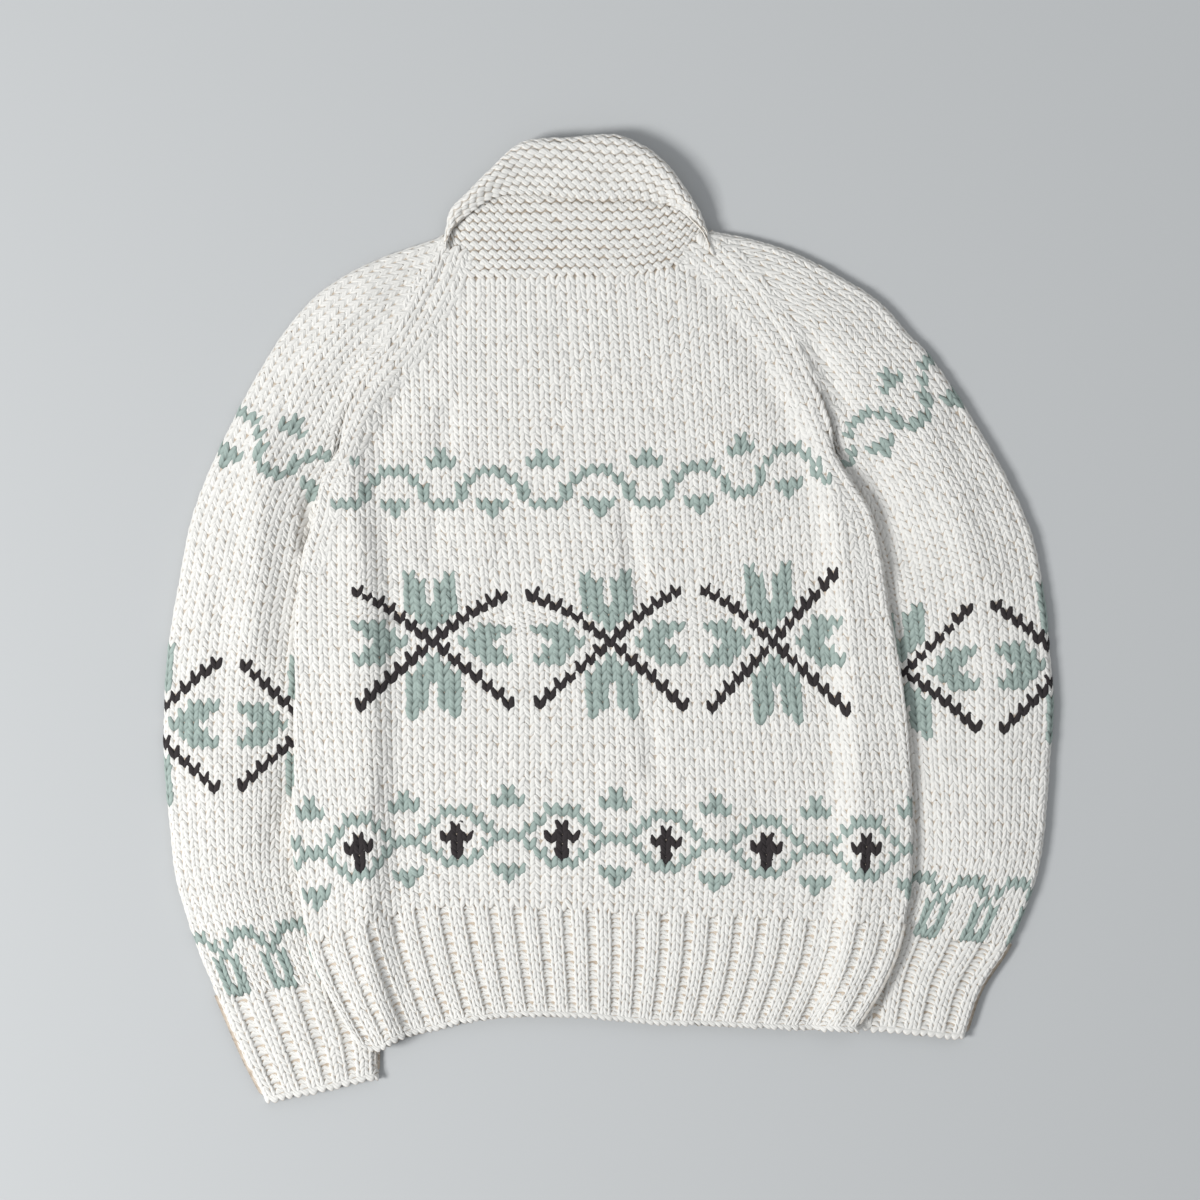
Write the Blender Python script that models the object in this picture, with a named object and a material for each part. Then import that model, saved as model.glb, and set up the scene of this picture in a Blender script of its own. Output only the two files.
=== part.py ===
"""A chunky hand-knitted raglan cardigan with a shawl collar, laid flat with its back up.

Metres, +Z up. The garment's neck points to +Y and the wearer's left is at -X. It lies on z = 0,
and the origin is under the middle of its outline. Every piece is a wall of knitted cloth.
"""

from collections import namedtuple

import bmesh
import bpy
import numpy as np

# The cloth and how its layers lie on each other.
WALL = 0.0045
LAYER_GAP = 0.0006
SEAM_GAP = 0.0003
CURVED_SEAM_GAP = 0.0006
HALF_GAP = LAYER_GAP / 2
HALF_STACK = WALL + HALF_GAP
STACK = 2 * HALF_STACK

# The body climbs over the sleeve's hidden inner edge, and over the raglan ridge above it.
CLIMB = STACK + LAYER_GAP
CLIMB_WIDTH = 0.030
CLIMB_CLEAR_FRONT = 0.004
CLIMB_CLEAR_BACK = 0.008
CLIMB_END_FRONT = 0.090
CLIMB_END_BACK = 0.135
RAGLAN_RIDGE = 0.0030
RAGLAN_SLOPE = 0.020
UNDERARM_BLEND = 0.16

# The most of a layer's width that one climb takes.
CLIMB_SHARE = 0.42

# How far the upper layers stand clear of the lower ones, where nothing lies on them.
BACK_LOFT = 0.0036
BACK_LOFT_EDGE = 0.060
SLEEVE_LOFT = 0.0065
CUFF_LOFT = 0.0020

# A sleeve narrower than this stands less and less clear.
SLEEVE_EASE_WIDTH = 0.12

# Two knit stitches and one purl stitch make a rib. The purl stitch is sunk.
RIB_DEPTH = 0.0020
BACK_RIBS = 25
CUFF_RIBS = 5
COLUMNS_PER_RIB = 3

# Rows and columns of the walls.
BODY_ROWS = 13
RAGLAN_ROWS = 10
SLEEVE_ROWS = 16
HEM_ROWS = 3
CUFF_ROWS = 3
BACK_COLUMNS = 15
FRONT_COLUMNS = 3
BAND_COLUMNS = 3
UPPER_SLEEVE_COLUMNS = 6
LOWER_SLEEVE_COLUMNS = 2

# How many points a curve is read at where one of its places is looked up.
SAMPLES = 160

# The collar stands up from the neck, rolls over and falls back on itself in garter stitch.
COLLAR_WALL = 0.0055
COLLAR_ROLL = 0.0030
COLLAR_RISE = 0.0015
COLLAR_COLUMNS = 14
GARTER_DEPTH = 0.0016
STAND_RIDGES = 8
STAND_SHOWN = 0.56
STAND_HIDDEN = (0.75, 1)
STAND_SETTLE = 0.35
ROLL_RIDGES = 3
FALL_RIDGES = 6

# Over this share of its length at each end the collar thins, and its roll closes.
COLLAR_END = 0.16
COLLAR_END_WALL = 0.45
COLLAR_END_ROLL = 0.30

Point = namedtuple("Point", "x y")
SleeveRow = namedtuple("SleeveRow", "outer_x outer_y inner_x inner_y")
Fold = namedtuple("Fold", "from_x from_y to_x to_y width height")
Finish = namedtuple("Finish", "red green blue roughness")

CREAM = Finish(0.78, 0.75, 0.69, 0.92)
SAGE = Finish(0.36, 0.45, 0.39, 0.92)

# The body's side edge, from the top of the hem rib to the underarm.
BODY_SIDE = {
    "left": (
        Point(-0.270, -0.292),
        Point(-0.277, -0.247),
        Point(-0.284, -0.208),
        Point(-0.282, -0.130),
        Point(-0.282, -0.076),
        Point(-0.280, 0.011),
        Point(-0.273, 0.060),
        Point(-0.264, 0.091),
        Point(-0.256, 0.126),
        Point(-0.242, 0.150),
    ),
    "right": (
        Point(0.265, -0.275),
        Point(0.270, -0.251),
        Point(0.272, -0.225),
        Point(0.272, -0.175),
        Point(0.270, -0.118),
        Point(0.265, -0.062),
        Point(0.254, -0.005),
        Point(0.244, 0.058),
        Point(0.234, 0.097),
        Point(0.216, 0.125),
        Point(0.204, 0.145),
    ),
}

# The side edge of the hem rib, from its cast-on edge up.
HEM_SIDE = {
    "left": (
        Point(-0.227, -0.380),
        Point(-0.248, -0.345),
        Point(-0.263, -0.313),
        Point(-0.270, -0.292),
    ),
    "right": (
        Point(0.223, -0.367),
        Point(0.243, -0.335),
        Point(0.258, -0.302),
        Point(0.265, -0.275),
    ),
}

HEM_TOP = (
    Point(-0.270, -0.292),
    Point(-0.231, -0.278),
    Point(-0.196, -0.267),
    Point(-0.160, -0.260),
    Point(-0.115, -0.259),
    Point(-0.022, -0.262),
    Point(0.119, -0.268),
    Point(0.222, -0.272),
    Point(0.265, -0.275),
)

HEM_BOTTOM = (
    Point(-0.227, -0.380),
    Point(-0.209, -0.384),
    Point(-0.190, -0.375),
    Point(-0.159, -0.367),
    Point(-0.120, -0.358),
    Point(-0.072, -0.354),
    Point(-0.026, -0.355),
    Point(0.036, -0.361),
    Point(0.099, -0.363),
    Point(0.161, -0.366),
    Point(0.223, -0.367),
)

NECK = (
    Point(-0.146, 0.319),
    Point(-0.135, 0.308),
    Point(-0.098, 0.305),
    Point(-0.039, 0.306),
    Point(0.044, 0.311),
    Point(0.072, 0.320),
    Point(0.087, 0.329),
)

# The seam between each front and its band, from the top of the hem rib to the neck.
BAND_SEAM = {
    "left": (
        Point(-0.047, -0.264),
        Point(-0.053, -0.121),
        Point(-0.057, 0.050),
        Point(-0.062, 0.122),
        Point(-0.098, 0.221),
        Point(-0.132, 0.300),
    ),
    "right": (
        Point(0.034, -0.267),
        Point(0.025, -0.121),
        Point(0.014, 0.050),
        Point(0.007, 0.122),
        Point(0.042, 0.221),
        Point(0.071, 0.305),
    ),
}

BAND_HEM = {
    "left": (Point(-0.044, -0.356), Point(-0.047, -0.264)),
    "right": (Point(0.037, -0.361), Point(0.034, -0.267)),
}

# The line down the middle of the front where the two bands meet.
CENTRE_FRONT = (
    Point(-0.003, -0.358),
    Point(-0.007, -0.264),
    Point(-0.014, -0.121),
    Point(-0.022, 0.050),
    Point(-0.027, 0.194),
    Point(-0.030, 0.306),
    Point(-0.030, 0.418),
)

# Where the front half of the collar turns up from the neck seam, under the collar's roll.
COLLAR_SIDE = {
    "left": (Point(-0.132, 0.300), Point(-0.143, 0.322), Point(-0.141, 0.345)),
    "right": (Point(0.071, 0.305), Point(0.082, 0.326), Point(0.082, 0.342)),
}
COLLAR_TOP = {
    "left": (Point(-0.141, 0.345), Point(-0.119, 0.376), Point(-0.076, 0.414), Point(-0.030, 0.418)),
    "right": (Point(0.082, 0.342), Point(0.065, 0.374), Point(0.026, 0.411), Point(-0.030, 0.418)),
}

# The collar's roll along its top, and the free edge of its fall.
COLLAR_FOLD = (
    Point(-0.147, 0.346),
    Point(-0.143, 0.363),
    Point(-0.127, 0.380),
    Point(-0.107, 0.400),
    Point(-0.079, 0.424),
    Point(-0.035, 0.429),
    Point(0.012, 0.430),
    Point(0.029, 0.423),
    Point(0.052, 0.406),
    Point(0.071, 0.381),
    Point(0.083, 0.362),
    Point(0.090, 0.344),
)
COLLAR_EDGE = (
    Point(-0.134, 0.352),
    Point(-0.120, 0.364),
    Point(-0.103, 0.375),
    Point(-0.056, 0.378),
    Point(-0.015, 0.374),
    Point(0.029, 0.374),
    Point(0.061, 0.365),
    Point(0.077, 0.352),
)

# Cross-sections of each sleeve from the cuff's cast-on edge to the neck. The inner edge is hidden
# under the body as far as the underarm, and is the raglan seam from there on.
SLEEVE = {
    "left": (
        SleeveRow(-0.310, -0.432, -0.207, -0.410),
        SleeveRow(-0.328, -0.397, -0.208, -0.378),
        SleeveRow(-0.348, -0.351, -0.220, -0.332),
        SleeveRow(-0.365, -0.310, -0.225, -0.290),
        SleeveRow(-0.379, -0.271, -0.226, -0.249),
        SleeveRow(-0.390, -0.229, -0.225, -0.211),
        SleeveRow(-0.396, -0.172, -0.225, -0.157),
        SleeveRow(-0.400, -0.116, -0.224, -0.103),
        SleeveRow(-0.398, -0.054, -0.225, -0.044),
        SleeveRow(-0.393, -0.008, -0.227, 0.001),
        SleeveRow(-0.385, 0.038, -0.232, 0.041),
        SleeveRow(-0.376, 0.084, -0.237, 0.079),
        SleeveRow(-0.363, 0.121, -0.242, 0.115),
        SleeveRow(-0.342, 0.167, -0.242, 0.150),
        SleeveRow(-0.308, 0.231, -0.216, 0.207),
        SleeveRow(-0.274, 0.277, -0.189, 0.239),
        SleeveRow(-0.246, 0.301, -0.173, 0.264),
        SleeveRow(-0.210, 0.320, -0.162, 0.284),
        SleeveRow(-0.171, 0.334, -0.152, 0.303),
        SleeveRow(-0.152, 0.341, -0.146, 0.319),
    ),
    "right": (
        SleeveRow(0.321, -0.375, 0.217, -0.365),
        SleeveRow(0.335, -0.335, 0.222, -0.317),
        SleeveRow(0.359, -0.298, 0.228, -0.283),
        SleeveRow(0.377, -0.257, 0.232, -0.245),
        SleeveRow(0.390, -0.211, 0.234, -0.206),
        SleeveRow(0.397, -0.132, 0.234, -0.125),
        SleeveRow(0.400, -0.076, 0.232, -0.067),
        SleeveRow(0.397, -0.034, 0.228, -0.026),
        SleeveRow(0.393, 0.008, 0.225, 0.014),
        SleeveRow(0.385, 0.058, 0.220, 0.054),
        SleeveRow(0.374, 0.092, 0.216, 0.086),
        SleeveRow(0.357, 0.127, 0.210, 0.117),
        SleeveRow(0.334, 0.167, 0.204, 0.145),
        SleeveRow(0.293, 0.229, 0.186, 0.192),
        SleeveRow(0.269, 0.255, 0.170, 0.224),
        SleeveRow(0.243, 0.283, 0.153, 0.254),
        SleeveRow(0.207, 0.306, 0.137, 0.276),
        SleeveRow(0.169, 0.326, 0.121, 0.297),
        SleeveRow(0.132, 0.338, 0.103, 0.316),
        SleeveRow(0.094, 0.346, 0.087, 0.329),
    ),
}

# Rows of the SLEEVE tables: where the cuff's rib ends, where the underarm is, and over how many
# rows from there the raglan's ridge rises. The rows next to the cuff are SECTION_STEP apart.
CUFF_TOP_ROW = {"left": 2.25, "right": 2.1}
UNDERARM_ROW = {"left": 13, "right": 12}
RIDGE_RISE_ROWS = 2
SECTION_STEP = 0.040

INWARD = {"left": 1, "right": -1}

# Soft folds in the upper layer. A negative height is a trough.
FOLDS = (
    Fold(0.018, 0.092, 0.022, 0.040, 0.010, -0.0022),
    Fold(0.026, 0.040, 0.032, 0.012, 0.009, -0.0018),
    Fold(0.036, -0.095, 0.040, -0.130, 0.010, -0.0018),
    Fold(-0.188, 0.000, -0.094, -0.002, 0.007, -0.0024),
    Fold(-0.154, 0.084, -0.158, 0.058, 0.011, -0.0016),
    Fold(-0.108, 0.078, -0.112, 0.050, 0.012, 0.0018),
    Fold(-0.143, 0.186, -0.148, 0.156, 0.011, -0.0016),
    Fold(0.110, 0.150, 0.128, 0.070, 0.016, 0.0016),
    Fold(0.090, -0.180, 0.110, -0.240, 0.018, 0.0018),
    Fold(-0.120, -0.180, -0.100, -0.235, 0.018, 0.0016),
    Fold(-0.308, 0.157, -0.314, -0.026, 0.018, 0.0045),
    Fold(-0.290, -0.170, -0.302, -0.202, 0.012, -0.0030),
    Fold(-0.345, 0.010, -0.352, -0.110, 0.014, -0.0018),
    Fold(0.180, 0.242, 0.202, 0.196, 0.011, -0.0045),
    Fold(0.240, 0.128, 0.266, 0.050, 0.012, -0.0045),
    Fold(0.290, 0.160, 0.330, 0.040, 0.020, 0.0030),
    Fold(0.318, -0.020, 0.322, -0.120, 0.014, -0.0020),
    Fold(-0.262, 0.238, -0.214, 0.290, 0.016, 0.0020),
)


def smooth_step(share):
    share = np.clip(share, 0, 1)
    return share * share * (3 - 2 * share)


def along(table, share):
    """Rows of the smooth curve through a table's rows, at shares of its length from 0 to 1."""
    rows = np.array(table, float)
    length = np.linalg.norm(np.diff(rows, axis=0), axis=1).cumsum()
    knots = np.concatenate([[0], length]) / length[-1]
    return curve(rows, knots, share)


def curve(rows, knots, place):
    """Rows of the smooth curve that passes each row at its knot."""
    slope = np.gradient(rows, knots, axis=0)
    place = np.clip(np.atleast_1d(place), knots[0], knots[-1])
    first = np.clip(np.searchsorted(knots, place, side="right") - 1, 0, len(knots) - 2)
    step = (knots[first + 1] - knots[first])[:, None]
    part = (place - knots[first])[:, None] / step
    return (
        rows[first] * (1 + 2 * part) * (1 - part) ** 2
        + slope[first] * step * part * (1 - part) ** 2
        + rows[first + 1] * part * part * (3 - 2 * part)
        + slope[first + 1] * step * part * part * (part - 1)
    )


def sleeve_rows(side, place):
    """(outer points, inner points) of a sleeve at places counted in rows of its table."""
    table = np.array(SLEEVE[side], float)
    found = curve(table, np.arange(len(table), dtype=float), place)
    return found[:, :2], found[:, 2:]


def raglan_places(side):
    return np.linspace(UNDERARM_ROW[side], len(SLEEVE[side]) - 1, RAGLAN_ROWS + 1)


def inner_edge_x(side, y):
    """How far the sleeve's inner edge, or the raglan seam above it, lies to the side at y."""
    _, inner = sleeve_rows(side, np.linspace(0, len(SLEEVE[side]) - 1, SAMPLES))
    return np.interp(y, inner[:, 1], inner[:, 0])


def body_edge_x(side, y):
    """How far the body's side edge lies to the side at y, or NaN past the hem and the underarm."""
    share = np.linspace(0, 1, SAMPLES)
    edge = np.concatenate([along(HEM_SIDE[side], share), along(BODY_SIDE[side], share)])
    return np.interp(y, edge[:, 1], edge[:, 0], left=np.nan, right=np.nan)


def above_underarm(side, y):
    return y - BODY_SIDE[side][-1].y


def climb(x, y, clear, end, least):
    """How far the body is raised at its sides: over the sleeves, and less and less up the raglan.

    clear is how far the full height reaches past the sleeve's inner edge. end is how far above
    the underarm the height has come down to least.
    """
    raised = np.zeros_like(x)
    for side, inward in INWARD.items():
        fall = smooth_step(above_underarm(side, y) / end)
        height = CLIMB + (least - CLIMB) * fall
        past = (inward * (x - inner_edge_x(side, y)) - clear) / CLIMB_WIDTH
        raised = np.maximum(raised, height * (1 - smooth_step(past)))
    return raised


def front_middle(x, y):
    """The height half way between a front and the back's lowest place on it."""
    return HALF_STACK + climb(x, y, CLIMB_CLEAR_FRONT, CLIMB_END_FRONT, 0)


def back_middle(x, y):
    return HALF_STACK + climb(x, y, CLIMB_CLEAR_BACK, CLIMB_END_BACK, RAGLAN_RIDGE)


def folds(x, y):
    height = np.zeros_like(x)
    for fold in FOLDS:
        run_x, run_y = fold.to_x - fold.from_x, fold.to_y - fold.from_y
        length = np.hypot(run_x, run_y)
        past = ((x - fold.from_x) * run_x + (y - fold.from_y) * run_y) / length
        beside = ((x - fold.from_x) * run_y - (y - fold.from_y) * run_x) / length
        beyond = np.maximum(np.maximum(-past, past - length), 0)
        height += fold.height * np.exp(-(beside**2 + beyond**2) / fold.width**2)
    return height


def back_loft(x, y):
    """How far the back stands clear of the fronts. It lies on them at its side edges."""
    room = np.ones_like(x)
    for side, inward in INWARD.items():
        edge = np.where(
            above_underarm(side, y) > 0, inner_edge_x(side, y), body_edge_x(side, y)
        )
        edge = np.where(np.isnan(edge), HEM_SIDE[side][0].x, edge)
        past = inward * (x - edge) - HALF_STACK
        room *= smooth_step(past / BACK_LOFT_EDGE)
    return np.maximum(BACK_LOFT + folds(x, y), 0) * room


def roundness(place_above_underarm):
    """1 where a side edge is rounded like a fold, 0 where it is a flat seam up the raglan."""
    return 1 - smooth_step(place_above_underarm / (UNDERARM_BLEND * RAGLAN_ROWS))


def edge_columns(radius, rounded):
    """(how far in from the edge, how far from the middle) of the columns nearest an edge.

    There are three of them, or one where rounded is None.
    """
    if rounded is None:
        return np.array([SEAM_GAP / 2]), np.array([radius])
    turn = np.radians([0, 45, 90])
    inset = HALF_STACK - radius * np.cos(turn)
    height = np.maximum(radius * np.sin(turn), SEAM_GAP / 2)
    flat_inset = np.array([SEAM_GAP / 2, HALF_STACK / 2, HALF_STACK])
    return (
        flat_inset + (inset - flat_inset) * rounded,
        radius + (height - radius) * rounded,
    )


def patch(left, right, bottom, top, across):
    """Points of the surface between four edges. across holds each row's shares from left to right."""
    up = np.linalg.norm(np.diff(left, axis=0), axis=1) + np.linalg.norm(
        np.diff(right, axis=0), axis=1
    )
    up = (np.concatenate([[0], up.cumsum()]) / up.sum())[:, None, None]
    share = across[:, :, None]
    low = along(bottom, across.ravel()).reshape(*across.shape, 2)
    high = along(top, across.ravel()).reshape(*across.shape, 2)
    ruled = left[:, None] * (1 - share) + right[:, None] * share
    corners = (1 - up) * ((1 - share) * left[0] + share * right[0]) + up * (
        (1 - share) * left[-1] + share * right[-1]
    )
    return ruled + (1 - up) * low + up * high - corners


def moved(line, distance):
    """A line moved along +Y, to leave its half of a seam's gap."""
    return tuple(Point(x, y + distance) for x, y in line)


def wall(name, outer, inner, finish):
    """One closed wall of cloth between two grids of points, with the same rows and columns."""
    rows, columns = outer.shape[:2]
    mesh = bpy.data.meshes.new(name)
    bm = bmesh.new()
    bmesh.ops.create_grid(bm, x_segments=columns - 1, y_segments=rows - 1, size=0.5)
    row_layer = bm.verts.layers.int.new("row")
    column_layer = bm.verts.layers.int.new("column")
    for vert in bm.verts:
        vert[row_layer] = round((vert.co.y + 0.5) * (rows - 1))
        vert[column_layer] = round((vert.co.x + 0.5) * (columns - 1))
    made = bmesh.ops.extrude_face_region(bm, geom=bm.faces[:], use_keep_orig=True)
    copies = {part for part in made["geom"] if isinstance(part, bmesh.types.BMVert)}
    for vert in bm.verts:
        grid = inner if vert in copies else outer
        vert.co = grid[vert[row_layer], vert[column_layer]]
    bmesh.ops.recalc_face_normals(bm, faces=bm.faces[:])
    if bm.calc_volume(signed=True) < 0:
        bmesh.ops.reverse_faces(bm, faces=bm.faces[:])
    bm.verts.layers.int.remove(bm.verts.layers.int["row"])
    bm.verts.layers.int.remove(bm.verts.layers.int["column"])
    bm.to_mesh(mesh)
    bm.free()
    mesh.shade_smooth()
    mesh.materials.append(finish)
    piece = bpy.data.objects.new(name, mesh)
    bpy.context.collection.objects.link(piece)
    return piece


def yarn(name, finish):
    material = bpy.data.materials.new(name)
    material.use_nodes = True
    shader = material.node_tree.nodes["Principled BSDF"]
    shader.inputs["Base Color"].default_value = (finish.red, finish.green, finish.blue, 1)
    shader.inputs["Roughness"].default_value = finish.roughness
    shader.inputs["Metallic"].default_value = 0.0
    return material


def climb_columns(side, edge, span):
    """Distances from the body's edge of the columns that follow its climb over the sleeve."""
    if side is None:
        return np.array([])
    hidden = 0
    if above_underarm(side, edge[1]) < 0:
        hidden = abs(edge[0] - inner_edge_x(side, edge[1]))
    top = max(hidden + CLIMB_CLEAR_FRONT, 2 * HALF_STACK)
    places = np.concatenate(
        [np.linspace(HALF_STACK, top, 3)[1:], top + CLIMB_WIDTH * np.linspace(0, 1, 4)[1:]]
    )
    squeeze = min(1, CLIMB_SHARE * (span - HALF_STACK) / (places[-1] - HALF_STACK))
    return HALF_STACK + (places - HALF_STACK) * squeeze


def layer(
    name, frame, rounded, columns, middle, way, finish, climbs=(None, None), loft=None, sunk=None
):
    """A back or front piece. way is 1 for the upper layer and -1 for the lower one.

    frame is (left, right, bottom, top), rounded is (left, right), one number for each row.
    climbs names the side whose sleeve lies under the left and the right edge, if any.
    sunk gives how far a column's outer point lies below the rib's top.
    """
    left, right, bottom, top = frame
    left[0], right[0] = along(bottom, [0, 1])
    left[-1], right[-1] = along(top, [0, 1])
    width = np.linalg.norm(right - left, axis=1)
    grids = []
    for radius in (HALF_STACK, HALF_GAP):
        across, height = [], []
        for row, span in enumerate(width):
            near, near_height = edge_columns(radius, rounded[0][row])
            far, far_height = edge_columns(radius, rounded[1][row])
            rise = climb_columns(climbs[0], left[row], span)
            drop = span - climb_columns(climbs[1], right[row], span)[::-1]
            start = rise[-1] if len(rise) else near[-1]
            stop = drop[0] if len(drop) else span - far[-1]
            plain = np.concatenate([rise, np.linspace(start, stop, columns + 2)[1:-1], drop])
            across.append(np.concatenate([near, plain, span - far[::-1]]) / span)
            level = np.full(len(plain), radius)
            if sunk is not None and radius == HALF_STACK:
                level = level - sunk
            height.append(np.concatenate([near_height, level, far_height[::-1]]))
        plan = patch(left, right, bottom, top, np.array(across))
        x, y = plan[..., 0], plan[..., 1]
        z = middle(x, y) + way * np.array(height)
        if loft is not None:
            z += loft(x, y)
        grids.append(np.dstack([x, y, z]))
    return wall(name, grids[0], grids[1], finish)


def body_sides(side, rows):
    """The body's edge from the hem rib to the neck, and how rounded it is at each point."""
    lower = along(BODY_SIDE[side], np.linspace(0, 1, rows + 1))
    _, raglan = sleeve_rows(side, raglan_places(side))
    rounded = np.concatenate([np.ones(rows), roundness(np.arange(RAGLAN_ROWS + 1))])
    return np.concatenate([lower[:-1], raglan]), rounded


def rib_depths(ribs):
    """How far each column lies below the rib's top, with the purl column sunk."""
    return np.tile([0, 0, RIB_DEPTH], ribs)


def add_back(cream, sage):
    left, round_left = body_sides("left", BODY_ROWS)
    right, round_right = body_sides("right", BODY_ROWS)
    hem_seam = moved(HEM_TOP, CURVED_SEAM_GAP / 2)
    neck_seam = moved(NECK, -CURVED_SEAM_GAP / 2)
    layer(
        "back",
        (left, right, hem_seam, neck_seam),
        (round_left, round_right),
        BACK_COLUMNS,
        back_middle,
        1,
        sage,
        climbs=("left", "right"),
        loft=back_loft,
    )
    share = np.linspace(0, 1, HEM_ROWS + 1)
    rounded = np.ones(HEM_ROWS + 1)
    layer(
        "hem_back",
        (
            along(HEM_SIDE["left"], share),
            along(HEM_SIDE["right"], share),
            HEM_BOTTOM,
            moved(HEM_TOP, -CURVED_SEAM_GAP / 2),
        ),
        (rounded, rounded),
        COLUMNS_PER_RIB * BACK_RIBS,
        back_middle,
        1,
        cream,
        loft=back_loft,
        sunk=rib_depths(BACK_RIBS),
    )


def part_of(line, start, stop):
    """The stretch of a line between two X places, as a line with its ends there."""
    dense = along(line, np.linspace(0, 1, SAMPLES))
    low, high = sorted((start, stop))
    y_low, y_high = np.interp([low, high], dense[:, 0], dense[:, 1])
    inside = [Point(p.x, p.y) for p in line if low + 0.01 < p.x < high - 0.01]
    found = [Point(low, y_low), *inside, Point(high, y_high)]
    return tuple(found if start <= stop else found[::-1])


def add_front(side, cream, sage):
    """One front and its hem rib, with the band's seam as the other side edge."""
    edge, edge_round = body_sides(side, BODY_ROWS)
    seam_share = np.linspace(0, 1, BODY_ROWS + RAGLAN_ROWS + 1)
    seam = along(BAND_SEAM[side], seam_share)
    neck = (Point(*edge[-1]), BAND_SEAM[side][-1])
    hem_share = np.linspace(0, 1, HEM_ROWS + 1)
    hem_edge = along(HEM_SIDE[side], hem_share)
    hem_seam = along(BAND_HEM[side], hem_share)
    outer_x, seam_x = BODY_SIDE[side][0].x, BAND_SEAM[side][0].x
    low_outer_x, low_seam_x = HEM_SIDE[side][0].x, BAND_HEM[side][0].x
    flat, hem_flat = [None] * len(edge_round), [None] * (HEM_ROWS + 1)
    hem_round = np.ones(HEM_ROWS + 1)
    top_line = part_of(HEM_TOP, outer_x, seam_x)
    low_line = part_of(HEM_BOTTOM, low_outer_x, low_seam_x)
    main = [edge, seam, moved(top_line, CURVED_SEAM_GAP / 2), neck]
    hem = [hem_edge, hem_seam, low_line, moved(top_line, -CURVED_SEAM_GAP / 2)]
    main_round, rib_round = [edge_round, flat], [hem_round, hem_flat]
    climbs = (side, None) if side == "left" else (None, side)
    if side == "right":
        main = [seam, edge, main[2][::-1], neck[::-1]]
        hem = [hem_seam, hem_edge, low_line[::-1], hem[3][::-1]]
        main_round.reverse()
        rib_round.reverse()
    for name, frame, rounded, finish in (
        (f"front_{side}", main, main_round, sage),
        (f"hem_front_{side}", hem, rib_round, cream),
    ):
        layer(name, frame, rounded, FRONT_COLUMNS, front_middle, -1, finish, climbs=climbs)


def add_band(side, cream):
    """The front band, which widens up the neck into the front half of the shawl collar."""
    parts = (BAND_HEM[side], BAND_SEAM[side], COLLAR_SIDE[side])
    counts = (1, BODY_ROWS + RAGLAN_ROWS, 2)
    outer = np.concatenate(
        [along(line, np.linspace(0, 1, n + 1))[:-1] for line, n in zip(parts, counts)]
        + [along(COLLAR_SIDE[side], [1])]
    )
    middle = along(CENTRE_FRONT, np.linspace(0, 1, len(outer)))
    bottom = (Point(*outer[0]), CENTRE_FRONT[0])
    frame = [outer, middle, bottom, COLLAR_TOP[side]]
    if side == "right":
        frame = [middle, outer, bottom[::-1], COLLAR_TOP[side][::-1]]
    flat = [None] * len(outer)
    layer(f"collar_front_{side}", frame, (flat, flat), BAND_COLUMNS, front_middle, -1, cream)


def hidden_share(side, outer, inner):
    """How much of a sleeve's width the body covers, counted from the inner edge."""
    share = np.linspace(0, 1, SAMPLES)[:, None]
    points = inner + (outer - inner) * share
    past = INWARD[side] * (points[:, 0] - body_edge_x(side, points[:, 1]))
    return float(np.mean(past > -HALF_STACK))


def sleeve_wall(name, side, places, finish, ribs=0):
    """A stretch of sleeve: one wall round the tube, open along the inner edge's seam."""
    grids = []
    columns = LOWER_SLEEVE_COLUMNS
    count = COLUMNS_PER_RIB * ribs if ribs else UPPER_SLEEVE_COLUMNS
    last = len(SLEEVE[side]) - 1
    for radius in (HALF_STACK, HALF_GAP):
        rows = []
        for place in places:
            outer, inner = (found[0] for found in sleeve_rows(side, place))
            width = np.linalg.norm(outer - inner)
            above = max(place - UNDERARM_ROW[side], 0)
            rows_above = above * RAGLAN_ROWS / (last - UNDERARM_ROW[side])
            edge, edge_height = edge_columns(radius, roundness(rows_above))
            fold, fold_height = edge_columns(radius, 1)
            fold_height[0] = 0
            low = np.linspace(HALF_STACK, width - HALF_STACK, columns + 2)[1:-1]
            high = np.linspace(HALF_STACK, width - HALF_STACK, count + 2)[1:-1]
            level = np.full(count, radius)
            if ribs and radius == HALF_STACK:
                level = level - rib_depths(ribs)
            out = np.concatenate([edge, low, width - fold[:0:-1], width - fold])
            out = np.concatenate([out, high[::-1], edge[::-1]])
            under = np.concatenate([-edge_height, np.full(columns, -radius), -fold_height[:0:-1]])
            over = np.concatenate([fold_height, level, edge_height[::-1]])
            height = np.concatenate([under, over])
            plan = inner + (outer - inner) * (out / width)[:, None]
            x, y = plan.T
            hidden = hidden_share(side, outer, inner)
            bare = np.clip((out / width - hidden) / (1 - hidden), 0, 1)
            room = np.sin(np.pi * bare)
            cuff = smooth_step((place - CUFF_TOP_ROW[side]) / 2)
            loft = CUFF_LOFT + (SLEEVE_LOFT - CUFF_LOFT) * cuff
            loft *= min(width / SLEEVE_EASE_WIDTH, 1)
            raised = np.maximum(loft + folds(x, y) * cuff, 0) * room
            ease = smooth_step(above / RIDGE_RISE_ROWS)
            fall = smooth_step(above_underarm(side, inner[1]) / CLIMB_END_BACK)
            ridge = (CLIMB + (RAGLAN_RIDGE - CLIMB) * fall) * ease
            raised += ridge * (1 - smooth_step((out - HALF_STACK) / RAGLAN_SLOPE))
            upper = np.arange(len(out)) >= len(under)
            rows.append(np.column_stack([x, y, HALF_STACK + height + raised * upper]))
        grids.append(np.array(rows))
    return wall(name, grids[0], grids[1], finish)


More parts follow.
